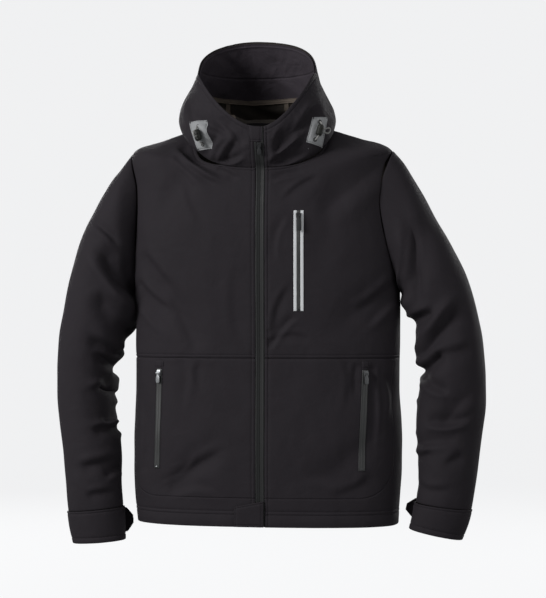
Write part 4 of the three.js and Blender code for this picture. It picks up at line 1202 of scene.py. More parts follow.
def body_folds(points, normals):
    creases = crease_depth(BODY_CREASES, points, normals[..., 1], CREASE_SHARE["body"])
    return fold_depth(MAIN_FOLDS, points) + creases


HEM_LINES = (21.0, 27.0)
ZIP_LINE = 6.0
SEAM_LINE = 5.0
WAIST = (WAIST_ROW - 0.003, WAIST_ROW + 0.003)
NECK = NECK_ROW - 0.008
LOWER_WIDTH = 285.0


class JACKET_OT_body(bpy.types.Operator):
    """Fronts above and below the waist seam, and the back"""

    bl_idname = "jacket.body"
    bl_label = "Body panels"

    def execute(self, context):
        zip_edge, hem, seam = stitched(ZIP_LINE), stitched(*HEM_LINES, free=True), SEAM
        above, neck = stitched(SEAM_LINE, dip=1.6), stitched(SEAM_LINE, dip=0.7)
        panels = (
            ("front_upper_right", "zip_right", "right", WAIST[1], NECK, (zip_edge, seam, above, neck)),
            ("front_upper_left", "left", "zip_left", WAIST[1], NECK, (seam, zip_edge, above, neck)),
            ("front_lower_right", "zip_right", "right", 0, WAIST[0], (zip_edge, seam, hem, WAIST_SEAM)),
            ("front_lower_left", "left", "zip_left", 0, WAIST[0], (seam, zip_edge, hem, WAIST_SEAM)),
            ("back", "back_right", "back_left", 0, NECK, (seam, seam, hem, neck)),
        )
        for name, first, second, low, high, edges in panels:
            outer = finish("shell")
            if "lower" in name:
                outer = finish("shell_pocket_" + name.split("_")[-1])
            cloth(name, body_panel(first, second, low, high), (outer, finish("fleece")), edges=edges,
                  folds=lambda points, normals, u, v: body_folds(points, normals), spacing=(3.6, 3.6))
        return {"FINISHED"}


class JACKET_OT_sleeves(bpy.types.Operator):
    """Two sleeves, each with its cuff band and pull tab"""

    bl_idname = "jacket.sleeves"
    bl_label = "Sleeves and cuffs"

    def execute(self, context):
        for side in SIDES:
            smooth = sleeve_smooth(side)

            def folds(points, normals, u, v, side=side):
                main = sleeve_fold_depth(SLEEVE_FOLDS[side], u, v * SLEEVE_RINGS)
                fade = smooth_step(v * 16) * smooth_step((1 - v) * 16) * CREASE_SHARE["sleeve"]
                fine = crease_depth(SLEEVE_CREASES[side], points, normals[..., 1], fade)
                return MAIN_FOLD_SHARE * main + fine

            cloth(f"sleeve_{side}", lambda u, v: smooth(u, v * SLEEVE_RINGS), shell_pair(), out=HAND[side],
                  closed=True, edges=(CUT, CUT, SEAM, SEAM), folds=folds, spacing=(3.8, 3.8), uneven=1.2)
            self.cuff(side)
        return {"FINISHED"}

    def cuff(self, side):
        rows = CUFF[side]
        last = len(rows["depth"]) - 1
        band = (CUT, CUT, stitched(4.0, dip=0.6), stitched(9.0, free=True))
        cloth(f"cuff_{side}", lambda u, v: section_point(rows, lerp(0.02, last, v), u), shell_pair(),
              out=HAND[side], closed=True, thickness=CUFF_SHELL, edges=band, spacing=(3.6, 3.2),
              stitches="sleeve_stitching", uneven=0.8)
        tab = stitched(2.5, free=True, allowance=0.0)
        cloth(f"cuff_tab_{side}", strap_surface(side), (finish("shell"), finish("shell")), out=-HAND[side],
              thickness=STRAP["thick"], edges=(tab, tab, tab, tab), spacing=(2.6, 2.6),
              stitches="sleeve_stitching", uneven=0.3)


STRAP = {"start": 0.9, "leave": 0.7, "tip": 0.32, "shoulder": 0.72, "thick": 1.5, "gap": 0.5}
STRAP_ON = {"right": {"top": -0.12, "foot": 1.3, "reach": 50},
            "left": {"top": 0.2, "foot": 1.65, "reach": 46}}


def strap_surface(side):
    """The strap hugs the back of its cuff, then runs straight past the inner side to a point."""
    rows, spec = CUFF[side], STRAP_ON[side]

    def cuff(turn, ring):
        return section_point(rows, ring, turn)

    def surface(u, v):
        u, v = np.broadcast_arrays(u, v)
        along = u * 2
        past = np.maximum(0, along - 1)
        narrowing = np.maximum(0, (past - STRAP["shoulder"]) / (1 - STRAP["shoulder"]))
        taper = lerp(1, STRAP["tip"], narrowing)
        ring = lerp(spec["top"], spec["foot"], 0.5 + (v - 0.5) * taper)
        turn = lerp(STRAP["start"], STRAP["leave"], np.clip(along, 0, 1))
        tangent = cuff(turn - 1e-3, ring) - cuff(turn + 1e-3, ring)
        tangent /= np.linalg.norm(tangent, axis=-1, keepdims=True)
        normals = surface_normals(cuff, turn, ring, HAND[side])
        lift = STRAP["thick"] + STRAP["gap"]
        return cuff(turn, ring) + normals * lift + tangent * (past * spec["reach"])[..., None]

    return surface


def hood_edge(t):
    return zip_share(t, HOOD)


def hood_folds(points, normals, u, v, low=0.0, high=1.0):
    """Folds of a piece that reaches over a share of the hood's height."""
    tall = lerp(low, high, v)
    fade = smooth_step((1 - tall) * 8) * smooth_step(tall * 10) * CREASE_SHARE["hood"]
    return crease_depth(HOOD_CREASES, points, normals[..., 1], fade)


class JACKET_OT_hood(bpy.types.Operator):
    """Two sides and the centre panel of the hood"""

    bl_idname = "jacket.hood"
    bl_label = "Hood"

    def execute(self, context):
        end = HOOD_SEAM["right"] - HOOD_HAIR
        start = 4 - HOOD_SEAM["left"] + HOOD_HAIR
        brim, neck, seam = stitched(8.0, free=True), SEAM, stitched(3.5)
        zip_edge = stitched(ZIP_LINE)

        def right(u, v):
            u, v = np.broadcast_arrays(u, v)
            t = lerp(HOOD_FOOT, HOOD_TOP, v)
            return hood_smooth(lerp(hood_edge(t), end, u), t)

        def left(u, v):
            u, v = np.broadcast_arrays(u, v)
            t = lerp(HOOD_FOOT, HOOD_TOP, v)
            return hood_smooth(lerp(start, 4 - hood_edge(t), u), t)

        def centre(u, v):
            across = lerp(end + 2 * HOOD_HAIR, start - 2 * HOOD_HAIR, u)
            return hood_smooth(across, lerp(HOOD_FOOT, HOOD_TOP, v))

        pair = finish("shell_hood"), finish("fleece")
        cloth("hood_side_right", right, pair, edges=(zip_edge, seam, neck, brim), folds=hood_folds,
              stitches="hood_stitching", spacing=(3.6, 3.6))
        cloth("hood_side_left", left, pair, edges=(seam, zip_edge, neck, brim), folds=hood_folds,
              stitches="hood_stitching", spacing=(3.6, 3.6))
        cloth("hood_centre", centre, pair, edges=(seam, seam, neck, brim), folds=hood_folds,
              stitches="hood_stitching", spacing=(3.6, 3.6))
        return {"FINISHED"}


FACE_DEPTH = SHELL + 1.3
TAPE_HALF = 4.2


def ring_spread(s, t, step=1e-3):
    """Millimetres that one ring's step covers at a place on the hood."""
    across = hood_smooth(s, t + step) - hood_smooth(s, t - step)
    return np.linalg.norm(across, axis=-1) / (2 * step)


SEAM_TAPE_FOOT = 0.37


class JACKET_OT_hood_lining(bpy.types.Operator):
    """Facing inside the brim, its bound edge and the taped seams"""

    bl_idname = "jacket.hood_lining"
    bl_label = "Hood facing and tapes"

    def execute(self, context):
        # the facing's cloth is painted lighter than the shell, as painted light inside the hood
        facing = finish("shell_facing_painted_light")
        brim = stitched(6.0, free=True, allowance=0.2)
        cloth("hood_facing",
              lambda u, v: hood_smooth(lerp(1.02, 2.98, u), lerp(FACING_RING, HOOD_TOP - 0.02, v)),
              (facing, facing), thickness=TAPE, lift=-FACE_DEPTH, edges=(CUT, CUT, CUT, brim), stitches=None,
              folds=self.facing_folds, spacing=(3.6, 3.0), uneven=0.6)
        tape = finish("tape")

        def binding(u, v):
            s, across = np.broadcast_arrays(lerp(1.02, 2.98, u), 2 * v - 1)
            reach = across * TAPE_HALF / ring_spread(s, np.full(s.shape, FACING_RING))
            return hood_smooth(s, FACING_RING + reach)

        cloth("hood_facing_tape", binding, (tape, tape), thickness=TAPE,
              lift=-FACE_DEPTH - TAPE - 2 * SEAM_GAP, edges=(FINE_EDGE,) * 4, stitches=None,
              spacing=(4.0, 1.0), uneven=0.2, relief=self.tape_relief,
              folds=lambda p, n, u, v: hood_folds(p, n, u, v, FACING_RING / HOOD_TOP, FACING_RING / HOOD_TOP))
        for side in SIDES:
            seam = HOOD_SEAM["right"] if side == "right" else 4 - HOOD_SEAM["left"]
            half = 4.6 / 240
            top = FACING_RING - (TAPE_HALF + 1) / float(ring_spread(np.array(seam), np.array(FACING_RING)))
            cloth(f"hood_seam_tape_{side}",
                  lambda u, v: hood_smooth(lerp(seam - half, seam + half, u), lerp(SEAM_TAPE_FOOT, top, v)),
                  (tape, tape),
                  thickness=TAPE, lift=-FACE_DEPTH, edges=(FINE_EDGE,) * 4, stitches=None,
                  spacing=(1.0, 4.0), uneven=0.2,
                  folds=lambda p, n, u, v: hood_folds(p, n, u, v, SEAM_TAPE_FOOT / HOOD_TOP,
                                                      top / HOOD_TOP))
        return {"FINISHED"}

    @staticmethod
    def facing_folds(points, normals, u, v):
        x, z = points[..., 0], points[..., 2]
        waves = 1 + np.sin((x + 0.7 * z) / 9 + 1.6 * np.sin(z / 15 + x / 40))
        fine = 1 + np.sin((x - 0.5 * z) / 3.4 + 2.0 * np.sin(z / 11 - x / 30))
        drags = waves * (0.9 + 0.6 * np.sin(x / 21 + 1)) + 0.45 * fine * np.sin(x / 26 + z / 31) ** 2
        hood = hood_folds(points, normals, u, v, FACING_RING / HOOD_TOP, 1.0)
        return hood + drags * smooth_step(v * 5) * smooth_step((1 - v) * 5)

    @staticmethod
    def tape_relief(from_start, from_foot):
        """Two cords along the tape, on its inner side, so the wall is thinned between them."""
        return -0.35 * np.cos(from_foot * 2 * np.pi / TAPE_HALF)


def main_tape(side):
    """A strip beside the centre front, on the body (w 0 to 1) and then the hood (1 to 2)."""
    low, high = (0.2, ZIP_HALF) if side == "right" else (-ZIP_HALF, -0.2)

    def surface(u, v):
        u, v = np.broadcast_arrays(u, v)
        x, w = lerp(low, high, u), v * 2
        on_body = w <= 1
        points = np.empty(u.shape + (3,))
        for here, rows, at, smooth in ((on_body, BODY, w * NECK_ROW, body_smooth),
                                       (~on_body, HOOD, (w - 1) * HOOD_TOP, hood_smooth)):
            if here.any():
                share = share_of(rows_at(rows, at[here]), np.abs(x[here])) * np.sign(x[here])
                points[here] = smooth(share, at[here])
        return points

    return surface


def tape_ridge(side, width):
    """A rounded ridge down the outer half of a coated tape."""

    def relief(from_start, from_foot):
        away = from_start / width if side == "right" else 1 - from_start / width
        return 0.9 * np.exp(-((away - 0.72) / 0.2) ** 2) - 0.35 * np.exp(-(away / 0.08) ** 2)

    return relief


class JACKET_OT_main_zip(bpy.types.Operator):
    """Front zip: coated tapes, teeth, slider, pull and garage"""

    bl_idname = "jacket.main_zip"
    bl_label = "Front zip"

    def execute(self, context):
        coated = finish("coated_matte")
        for side in SIDES:
            cloth(f"main_zip_tape_{side}", main_tape(side), (coated, coated),
                  thickness=1.2, lift=-0.8, edges=(FINE_EDGE, FINE_EDGE, CUT, CUT), stitches=None,
                  relief=tape_ridge(side, ZIP_HALF - 0.2), spacing=(0.8, 6.0), uneven=0.0)
        self.teeth()
        bevelled_copy("main_zip_slider", "main_zip_slider", finish("dark_metal"))
        bevelled_copy("main_zip_pull", "main_zip_pull", finish("pull"), "main_pull")

        def garage(u, v):
            u, v = np.broadcast_arrays(u, v)
            s = lerp(-0.105, 0.035, u) * (1 - 0.25 * (1 - v))
            return hood_smooth(s, lerp(3.9, HOOD_TOP, v))

        edge = stitched(2.2, free=True, allowance=0.0)
        cloth("main_zip_garage", garage, (finish("shell"), finish("shell")), thickness=1.2, lift=1.5,
              edges=(edge, edge, edge, FINE_EDGE), stitches="hood_stitching", spacing=(2.0, 2.0), uneven=0.3)
        return {"FINISHED"}

    def teeth(self):
        """The coil lies behind the tapes, as on a water-repellent zip."""
        surface = main_tape("right")
        v = np.linspace(0.004, 0.996, 260)
        u = np.full(v.shape, 0.12)
        points = surface(u, v)
        normals = surface_normals(lambda a, b: surface(a, np.clip(b, 0, 0.9999)), u, v)
        centred = points - np.array([1.2, 0, 0])
        lines = [(centred - normals * 3.0, normals)]
        sizes = context_sizes()
        thread_along("main_zip_teeth", lines, sizes.tooth_pitch, (0.00105, 0.0026, 0.0007), finish("tooth"))


def context_sizes():
    return bpy.context.scene.jacket_sizes


def bevelled_copy(name, node, material, body=BODY_NAME, width=0.00035, segments=2):
    """A CAD node's form with merged corners and rounded edges."""
    mesh = bpy.data.meshes.new(name)
    form = bmesh.new()
    form.from_mesh(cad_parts[node].data)
    bmesh.ops.remove_doubles(form, verts=form.verts, dist=1e-6)
    bmesh.ops.dissolve_limit(form, angle_limit=math.radians(2), verts=form.verts, edges=form.edges)
    bmesh.ops.recalc_face_normals(form, faces=form.faces)
    sharp = [e for e in form.edges if len(e.link_faces) == 2 and e.calc_face_angle() > math.radians(28)]
    bmesh.ops.bevel(form, geom=sharp, offset=width, segments=segments, profile=0.6, affect="EDGES",
                    clamp_overlap=True)
    form.to_mesh(mesh)
    form.free()
    mesh.materials.clear()
    mesh.materials.append(material)
    for polygon in mesh.polygons:
        polygon.material_index = 0
    mesh.shade_smooth()
    mesh.set_sharp_from_angle(angle=math.radians(38))
    obj = bpy.data.objects.new(name + "_form", mesh)
    bpy.context.scene.collection.objects.link(obj)
    finish_piece(obj, node, body)
    return obj


def seat_at(surface, s, t, lift):
    """Point, across, inward and up directions of hardware on a surface."""
    s, t = np.array([float(s)]), np.array([float(t)])
    point = surface(s, t)[0]
    normal = surface_normals(surface, s, t)[0]
    up = surface(s, t + 1e-3)[0] - point
    up -= normal * (up @ normal)
    up /= np.linalg.norm(up)
    across = np.cross(-normal, up)
    return point + normal * lift, across / np.linalg.norm(across), -normal, up


# Chest pocket zip: centre line, top and foot, and the widths of its strips and tape
CHEST = {"x": 68, "top": -168, "foot": -343, "welt": 5, "tape": 7}

# Hand pocket zips: where each centre line starts and ends in x, and heights both share
HAND_ZIP = {"right": {"top_x": 183, "foot_x": 177}, "left": {"top_x": -183, "foot_x": -188}}
HAND_TOP = -446
HAND_FOOT = -622
HAND_GARAGE_TOP = -429.5
HAND_WIDTH = 10.6


def body_outside(s, t):
    """The body's outer face with its folds and its unevenness."""
    points = body_smooth(s, t)
    normals = surface_normals(body_smooth, s, t)
    points = points - normals * body_folds(points, normals)[..., None]
    return points + normals * unevenness(points)[..., None]


def strip_surface(top_x, foot_x, top, foot, centre, width):
    """A strip of the body's front that hangs from one height to another."""

    def surface(u, v):
        u, v = np.broadcast_arrays(u, v)
        x = lerp(foot_x, top_x, v) + centre + (u - 0.5) * width
        s, t = body_spot(x, lerp(foot, top, v))
        return body_outside(s, t)

    return surface


class JACKET_OT_chest_zip(bpy.types.Operator):
    """Chest pocket zip between two light strips"""

    bl_idname = "jacket.chest_zip"
    bl_label = "Chest zip"

    def execute(self, context):
        shift = (CHEST["tape"] + CHEST["welt"]) / 2
        strip, coated = finish("strip"), finish("coated")
        spans = (CHEST["x"], CHEST["x"], CHEST["top"], CHEST["foot"])
        for side, centre in (("right", shift), ("left", -shift)):
            cloth(f"chest_zip_welt_{side}", strip_surface(*spans, centre, CHEST["welt"]), (strip, strip),
                  thickness=TAPE, lift=1.35, edges=(FINE_EDGE,) * 4, stitches=None,
                  spacing=(1.0, 5.0), uneven=0.0)
        width = CHEST["tape"] - 2 * SEAM_GAP
        cloth("chest_zip_tape", strip_surface(*spans, 0, width), (coated, coated),
              thickness=TAPE, lift=0.95, edges=(FINE_EDGE,) * 4, stitches=None, spacing=(0.7, 5.0),
              uneven=0.0, relief=closed_tape_relief(width))
        bevelled_copy("chest_zip_slider", "chest_zip_slider", finish("dark_metal"))
        bevelled_copy("chest_zip_pull", "chest_zip_pull", finish("pull"), "chest_pull")
        zip_stop("chest_zip_stop", CHEST["x"], CHEST["foot"] + 3, finish("dark_metal"))
        edge_stitches(CHEST["x"], CHEST["x"], CHEST["top"], CHEST["foot"], CHEST["tape"] / 2 + 4.1)
        return {"FINISHED"}


def closed_tape_relief(width):
    """Two coated halves that meet along the middle, each a little rounded."""

    def relief(from_start, from_foot):
        away = np.abs(from_start / width - 0.5) * 2
        return 0.45 * np.sqrt(np.clip(1 - (away - 0.45) ** 2 * 2.2, 0, 1)) - 0.5 * np.exp(-(away / 0.12) ** 2)

    return relief


def zip_stop(name, x, z, material):
    """A small pressed stop across the foot of a zip."""
    s, t = body_spot(np.array([x]), np.array([z]))
    point, across, inward, up = seat_at(body_outside, s[0], t[0], 1.9)
    form = bmesh.new()
    bmesh.ops.create_uvsphere(form, u_segments=16, v_segments=10, radius=1.0)
    for vert in form.verts:
        c = vert.co
        place = point + across * c.x * 2.6 + inward * c.y * 0.9 + up * c.z * 1.1
        vert.co = Vector(place * MM)
    mesh = bpy.data.meshes.new(name)
    bmesh.ops.recalc_face_normals(form, faces=form.faces)
    form.to_mesh(mesh)
    form.free()
    mesh.materials.append(material)
    mesh.shade_smooth()
    obj = bpy.data.objects.new(name, mesh)
    bpy.context.scene.collection.objects.link(obj)
    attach(obj, BODY_NAME)


def edge_stitches(top_x, foot_x, top, foot, away):
    """Stitch lines down both sides of a pocket zip."""
    along = np.linspace(0, 1, 40)
    for hand in (-1, 1):
        x = lerp(foot_x, top_x, along) + hand * away
        s, t = body_spot(x, lerp(foot, top, along))
        points, normals = body_outside(s, t), surface_normals(body_smooth, s, t)
        stitch_lines.setdefault("pocket_stitching", []).append((points + normals * 0.1, normals))


class JACKET_OT_hand_zips(bpy.types.Operator):
    """Hand pocket zips with their garages"""

    bl_idname = "jacket.hand_zips"
    bl_label = "Hand zips"

    def execute(self, context):
        coated = finish("coated")
        for side in SIDES:
            # the same hardware on both sides, painted lighter on the left as painted light and darker on the
            # right as painted shade
            metal = finish("bright_metal" if side == "left" else "painted_shade_metal")
            top_x, foot_x = HAND_ZIP[side]["top_x"], HAND_ZIP[side]["foot_x"]
            cloth(f"hand_zip_tape_{side}", strip_surface(top_x, foot_x, HAND_TOP, HAND_FOOT, 0, HAND_WIDTH),
                  (coated, coated), thickness=TAPE, lift=1.0, edges=(FINE_EDGE,) * 4,
                  stitches=None, spacing=(0.9, 5.0), uneven=0.0, relief=closed_tape_relief(HAND_WIDTH))
            tab = stitched(1.8, free=True, allowance=0.0)
            cloth(f"hand_zip_garage_{side}",
                  strip_surface(top_x, top_x, HAND_GARAGE_TOP, HAND_TOP + 1.5, 0, HAND_WIDTH + 5),
                  (finish("shell"), finish("shell")), thickness=TAPE, lift=1.6, edges=(tab,) * 4,
                  stitches="pocket_stitching", spacing=(2.0, 2.0), uneven=0.0)
            bevelled_copy(f"hand_zip_slider_{side}", f"hand_zip_slider_{side}", metal)
            bevelled_copy(f"hand_zip_pull_{side}", f"hand_zip_pull_{side}", metal,
                          f"hand_pull_{side}")
            zip_stop(f"hand_zip_stop_{side}", foot_x, HAND_FOOT + 3, metal)
            edge_stitches(top_x, foot_x, HAND_TOP, HAND_FOOT, HAND_WIDTH / 2 + 2.2)
        return {"FINISHED"}


class JACKET_OT_hem_tab(bpy.types.Operator):
    """Tab over the foot of the front zip"""

    bl_idname = "jacket.hem_tab"
    bl_label = "Hem tab"

    def execute(self, context):
        def surface(u, v):
            u, v = np.broadcast_arrays(u, v)
            z = lerp(-720.5, lerp(-686.5, -676, u), v)
            s, t = body_spot(lerp(-45, 6, u), z)
            return body_outside(s, t)

        edge = stitched(2.6, free=True, allowance=0.0)
        cloth("hem_tab", surface, (finish("shell"), finish("shell")), thickness=2.5, lift=4.0,
              edges=(edge, edge, edge, edge), stitches="body_stitching", spacing=(2.0, 2.0), uneven=0.0)
        return {"FINISHED"}


# Hood adjusters, placed in the front view: corners of each patch and its two eyelets
ADJUSTER = {
    "right": {"top_in": (93, -2.5), "top_out": (114.5, -2.5), "foot_out": (105.5, -56), "foot_in": (81, -48),
              "eye_top": (101, -12), "eye_foot": (93.5, -43.5)},
    "left": {"top_in": (-99.5, -6), "top_out": (-131, -8), "foot_out": (-114, -60), "foot_in": (-86, -58),
             "eye_top": (-111, -18), "eye_foot": (-102, -49.5)},
}

# How far each free loop swings out from the cloth about its lock, and its rise for each step outwards
LOOP_TURN = {"right": 0.0, "left": math.radians(110)}
LOOP_RISE = {"right": 0.35, "left": 0.0}
EYELET = {"outer": 3.9, "hole": 2.0, "thick": 1.2}
LOCK = {"radius": 6.2, "length": 20.0, "bore": 1.75}
CORD = 1.3


def hood_outside(s, t):
    points = hood_smooth(s, t)
    normals = surface_normals(hood_smooth, s, t)
    points = points - normals * hood_folds(points, normals, s, t / HOOD_TOP)[..., None]
    return points + normals * unevenness(points)[..., None]


def turned(name, profile, place, material, node, segments=40, ribs=0, rib_depth=0.0):
    """A turned ring or barrel from a profile of radius and height, on its own place and directions."""
    point, across, inward, up = place
    angle = np.linspace(0, 2 * np.pi, segments, endpoint=False)
    profile = np.array(profile, float)
    radius = profile[:, 0][:, None] * (1 + rib_depth * np.cos(ribs * angle)[None, :])
    x, y = radius * np.cos(angle), radius * np.sin(angle)
    h = np.broadcast_to(profile[:, 1][:, None], x.shape)
    points = point + x[..., None] * across + y[..., None] * up + h[..., None] * inward
    rows = len(profile)
    index = np.arange(rows * segments).reshape(rows, segments)
    below = np.roll(index, -1, axis=0)
    right = np.roll(index, -1, axis=1)
    faces = np.stack([index, right, np.roll(below, -1, axis=1), below], axis=-1).reshape(-1, 4)
    obj = new_object(name, points.reshape(-1, 3), faces, materials=(material,))
    form = bmesh.new()
    form.from_mesh(obj.data)
    bmesh.ops.recalc_face_normals(form, faces=form.faces)
    form.to_mesh(obj.data)
    form.free()
    obj.data.shade_smooth()
    obj.data.set_sharp_from_angle(angle=math.radians(40))
    if node:
        finish_piece(obj, node)
    return obj


def smooth_path(points, count):
    """A centripetal curve through the given points."""
    points = np.asarray(points, float)
    ends = [2 * points[0] - points[1], *points, 2 * points[-1] - points[-2]]
    lengths = np.linalg.norm(np.diff(points, axis=0), axis=1)
    wanted = np.linspace(0, lengths.sum(), count)
    starts = np.concatenate([[0], np.cumsum(lengths)])
    path = []
    for w in wanted:
        i = int(np.clip(np.searchsorted(starts, w) - 1, 0, len(lengths) - 1))
        f = (w - starts[i]) / lengths[i]
        p = ends[i:i + 4]
        knots = [0.0]
        for a, b in zip(p, p[1:]):
            knots.append(knots[-1] + max(np.linalg.norm(b - a), 1e-9) ** 0.5)
        at = lerp(knots[1], knots[2], f)
        level = list(p)
        for span in (1, 2):
            level = [((knots[k + span] - at) * level[k] + (at - knots[k]) * level[k + 1])
                     / (knots[k + span] - knots[k]) for k in range(len(level) - 1)]
        path.append(((knots[2] - at) * level[0] + (at - knots[1]) * level[1]) / (knots[2] - knots[1]))
    return np.array(path)


def cord_curve(name, points, radius, material):
    """A round cord along a smooth path, as a bevelled curve of one open spline."""
    curve = bpy.data.curves.new(name, "CURVE")
    curve.dimensions = "3D"
    curve.bevel_depth = radius * MM
    curve.bevel_resolution = 4
    curve.use_fill_caps = True
    spline = curve.splines.new("POLY")
    spline.points.add(len(points) - 1)
    for target, point in zip(spline.points, points * MM):
        target.co = (*point, 1)
    curve.materials.append(material)
    obj = bpy.data.objects.new(name, curve)
    bpy.context.scene.collection.objects.link(obj)
    return obj


class JACKET_OT_adjusters(bpy.types.Operator):
    """Light patches with eyelets, cord locks and elastic cord on the hood"""

    bl_idname = "jacket.adjusters"
    bl_label = "Hood adjusters"

    def execute(self, context):
        for side in SIDES:
            self.adjuster(side)
        return {"FINISHED"}

    def adjuster(self, side):
        spec, hand = ADJUSTER[side], HAND[side]

        def spot(x, z):
            return find_spot(hood_smooth, x, z, hand * 0.7, 1.4)

        def surface(u, v):
            u, v = np.broadcast_arrays(u, v)
            corner = {name: np.array(value, float) for name, value in spec.items()}
            foot = lerp(corner["foot_in"], corner["foot_out"], u[..., None])
            top = lerp(corner["top_in"], corner["top_out"], u[..., None])
            place = lerp(foot, top, v[..., None])
            s, t = spot(place[..., 0], place[..., 1])
            return hood_outside(s, t)

        patch = finish("patch")
        edge = stitched(2.0, free=True, allowance=0.0)
        cloth(f"adjuster_patch_{side}", surface, (patch, patch), thickness=TAPE,
              lift=1.5, out=hand, edges=(edge,) * 4, stitches="patch_stitching", spacing=(1.6, 1.6),
              uneven=0.0, relief=self.rumple)
        seats = {}
        half = EYELET["thick"] / 2
        for end in ("top", "foot"):
            x, z = spec["eye_" + end]
            s, t = spot(np.array([x]), np.array([z]))
            point, across, inward, up = seat_at(hood_smooth, s[0], t[0], TAPE + 5 * SEAM_GAP)
            seats[end] = (point, across, inward, up)
            inner, outer = EYELET["hole"], EYELET["outer"]
            middle, rim = (inner + outer) / 2, (outer - inner) / 2
            turns = np.linspace(0, 2 * np.pi, 12, endpoint=False)
            profile = [(middle + rim * np.cos(a), -half + half * np.sin(a)) for a in turns]
            turned(f"eyelet_{end}_{side}_ring", profile, seats[end], finish("dark_metal"),
                   f"eyelet_{end}_{side}", segments=36)
        top = seats["top"][0] - seats["top"][2] * SEAM_GAP
        foot = seats["foot"][0] - seats["foot"][2] * SEAM_GAP
        outward = -(seats["top"][2] + seats["foot"][2])
        outward /= np.linalg.norm(outward)
        axis = top - foot
        axis /= np.linalg.norm(axis)
        outward -= axis * (outward @ axis)
        outward /= np.linalg.norm(outward)
        middle = (top + foot) / 2 + outward * (LOCK["radius"] + 1.6)
        inward = -outward
        across = np.cross(inward, axis)
        self.lock(side, middle, across, inward, axis)
        half = LOCK["length"] / 2

        def in_lock(x, z):
            return middle + across * x * hand + axis * z

        route = [top, top + outward * 2.2 - axis * 0.4, in_lock(0, half + 1.2), in_lock(0, half - 2),
                 in_lock(0, 0), in_lock(0, 2 - half), in_lock(0, -half - 1.2),
                 foot + outward * 2.2 + axis * 0.4, foot]
        cord = cord_curve(f"hood_cord_{side}_elastic", smooth_path(route, 60), CORD, finish("cord"))
        finish_piece(cord, f"hood_cord_{side}")
        edge = LOCK["radius"] + 0.6
        swing, rise = LOOP_TURN[side], LOOP_RISE[side]

        def in_loop(x, z):
            out = across * hand * math.cos(swing) + outward * math.sin(swing)
            return middle + out * x + axis * (z + x * rise)

        loop = [in_loop(edge + x, z) for x, z in (
            (0, 2.6), (4, 3.4), (8.5, 5.2), (12.4, 3.4), (13.6, 0), (12.4, -3.4), (8.5, -5.2), (4, -3.4),
            (0, -2.6))]
        path = smooth_path(loop, 48)
        bight = cord_curve(f"hood_cord_loop_{side}_elastic", path, CORD, finish("cord"))
        finish_piece(bight, f"hood_cord_loop_{side}")

    @staticmethod
    def rumple(from_start, from_foot):
        waves = np.sin(from_foot / 3.1 + 1.4 * np.sin(from_start / 4.0))
        return 0.35 * waves * np.sin(from_start / 6.5 + 0.5)

    @staticmethod
    def lock(side, middle, across, inward, axis):
        """A ribbed barrel with its bore along the cord."""
        half, radius, bore = LOCK["length"] / 2, LOCK["radius"], LOCK["bore"]
        heights = np.linspace(-half, half, 49)
        ribs = 0.5 * (1 + np.cos(heights * 2 * np.pi / 2.5))
        swell = radius * (1 - 0.38 * np.abs(heights / half) ** 6) * (0.93 + 0.07 * ribs)
        profile = [(bore, -half), *zip(swell, heights), (bore, half)]
        place = (middle, across, axis, -inward)
        turned(f"cord_lock_{side}_barrel", profile, place, finish("lock"),
               f"cord_lock_{side}", segments=44)


def path_object(name, lines):
    """Open edge chains that carry the direction away from the cloth."""
    points, ways, links = [], [], []
    for path, out in lines:
        start = len(points)
        points += [tuple(p) for p in path * MM]
        ways.append(out)
        links += [(start + k, start + k + 1) for k in range(len(path) - 1)]
    mesh = bpy.data.meshes.new(name)
    mesh.from_pydata(points, links, [])
    away = mesh.attributes.new("away", "FLOAT_VECTOR", "POINT")
    away.data.foreach_set("vector", np.vstack(ways).astype(np.float32).ravel())
    obj = bpy.data.objects.new(name, mesh)
    bpy.context.scene.collection.objects.link(obj)
    return obj


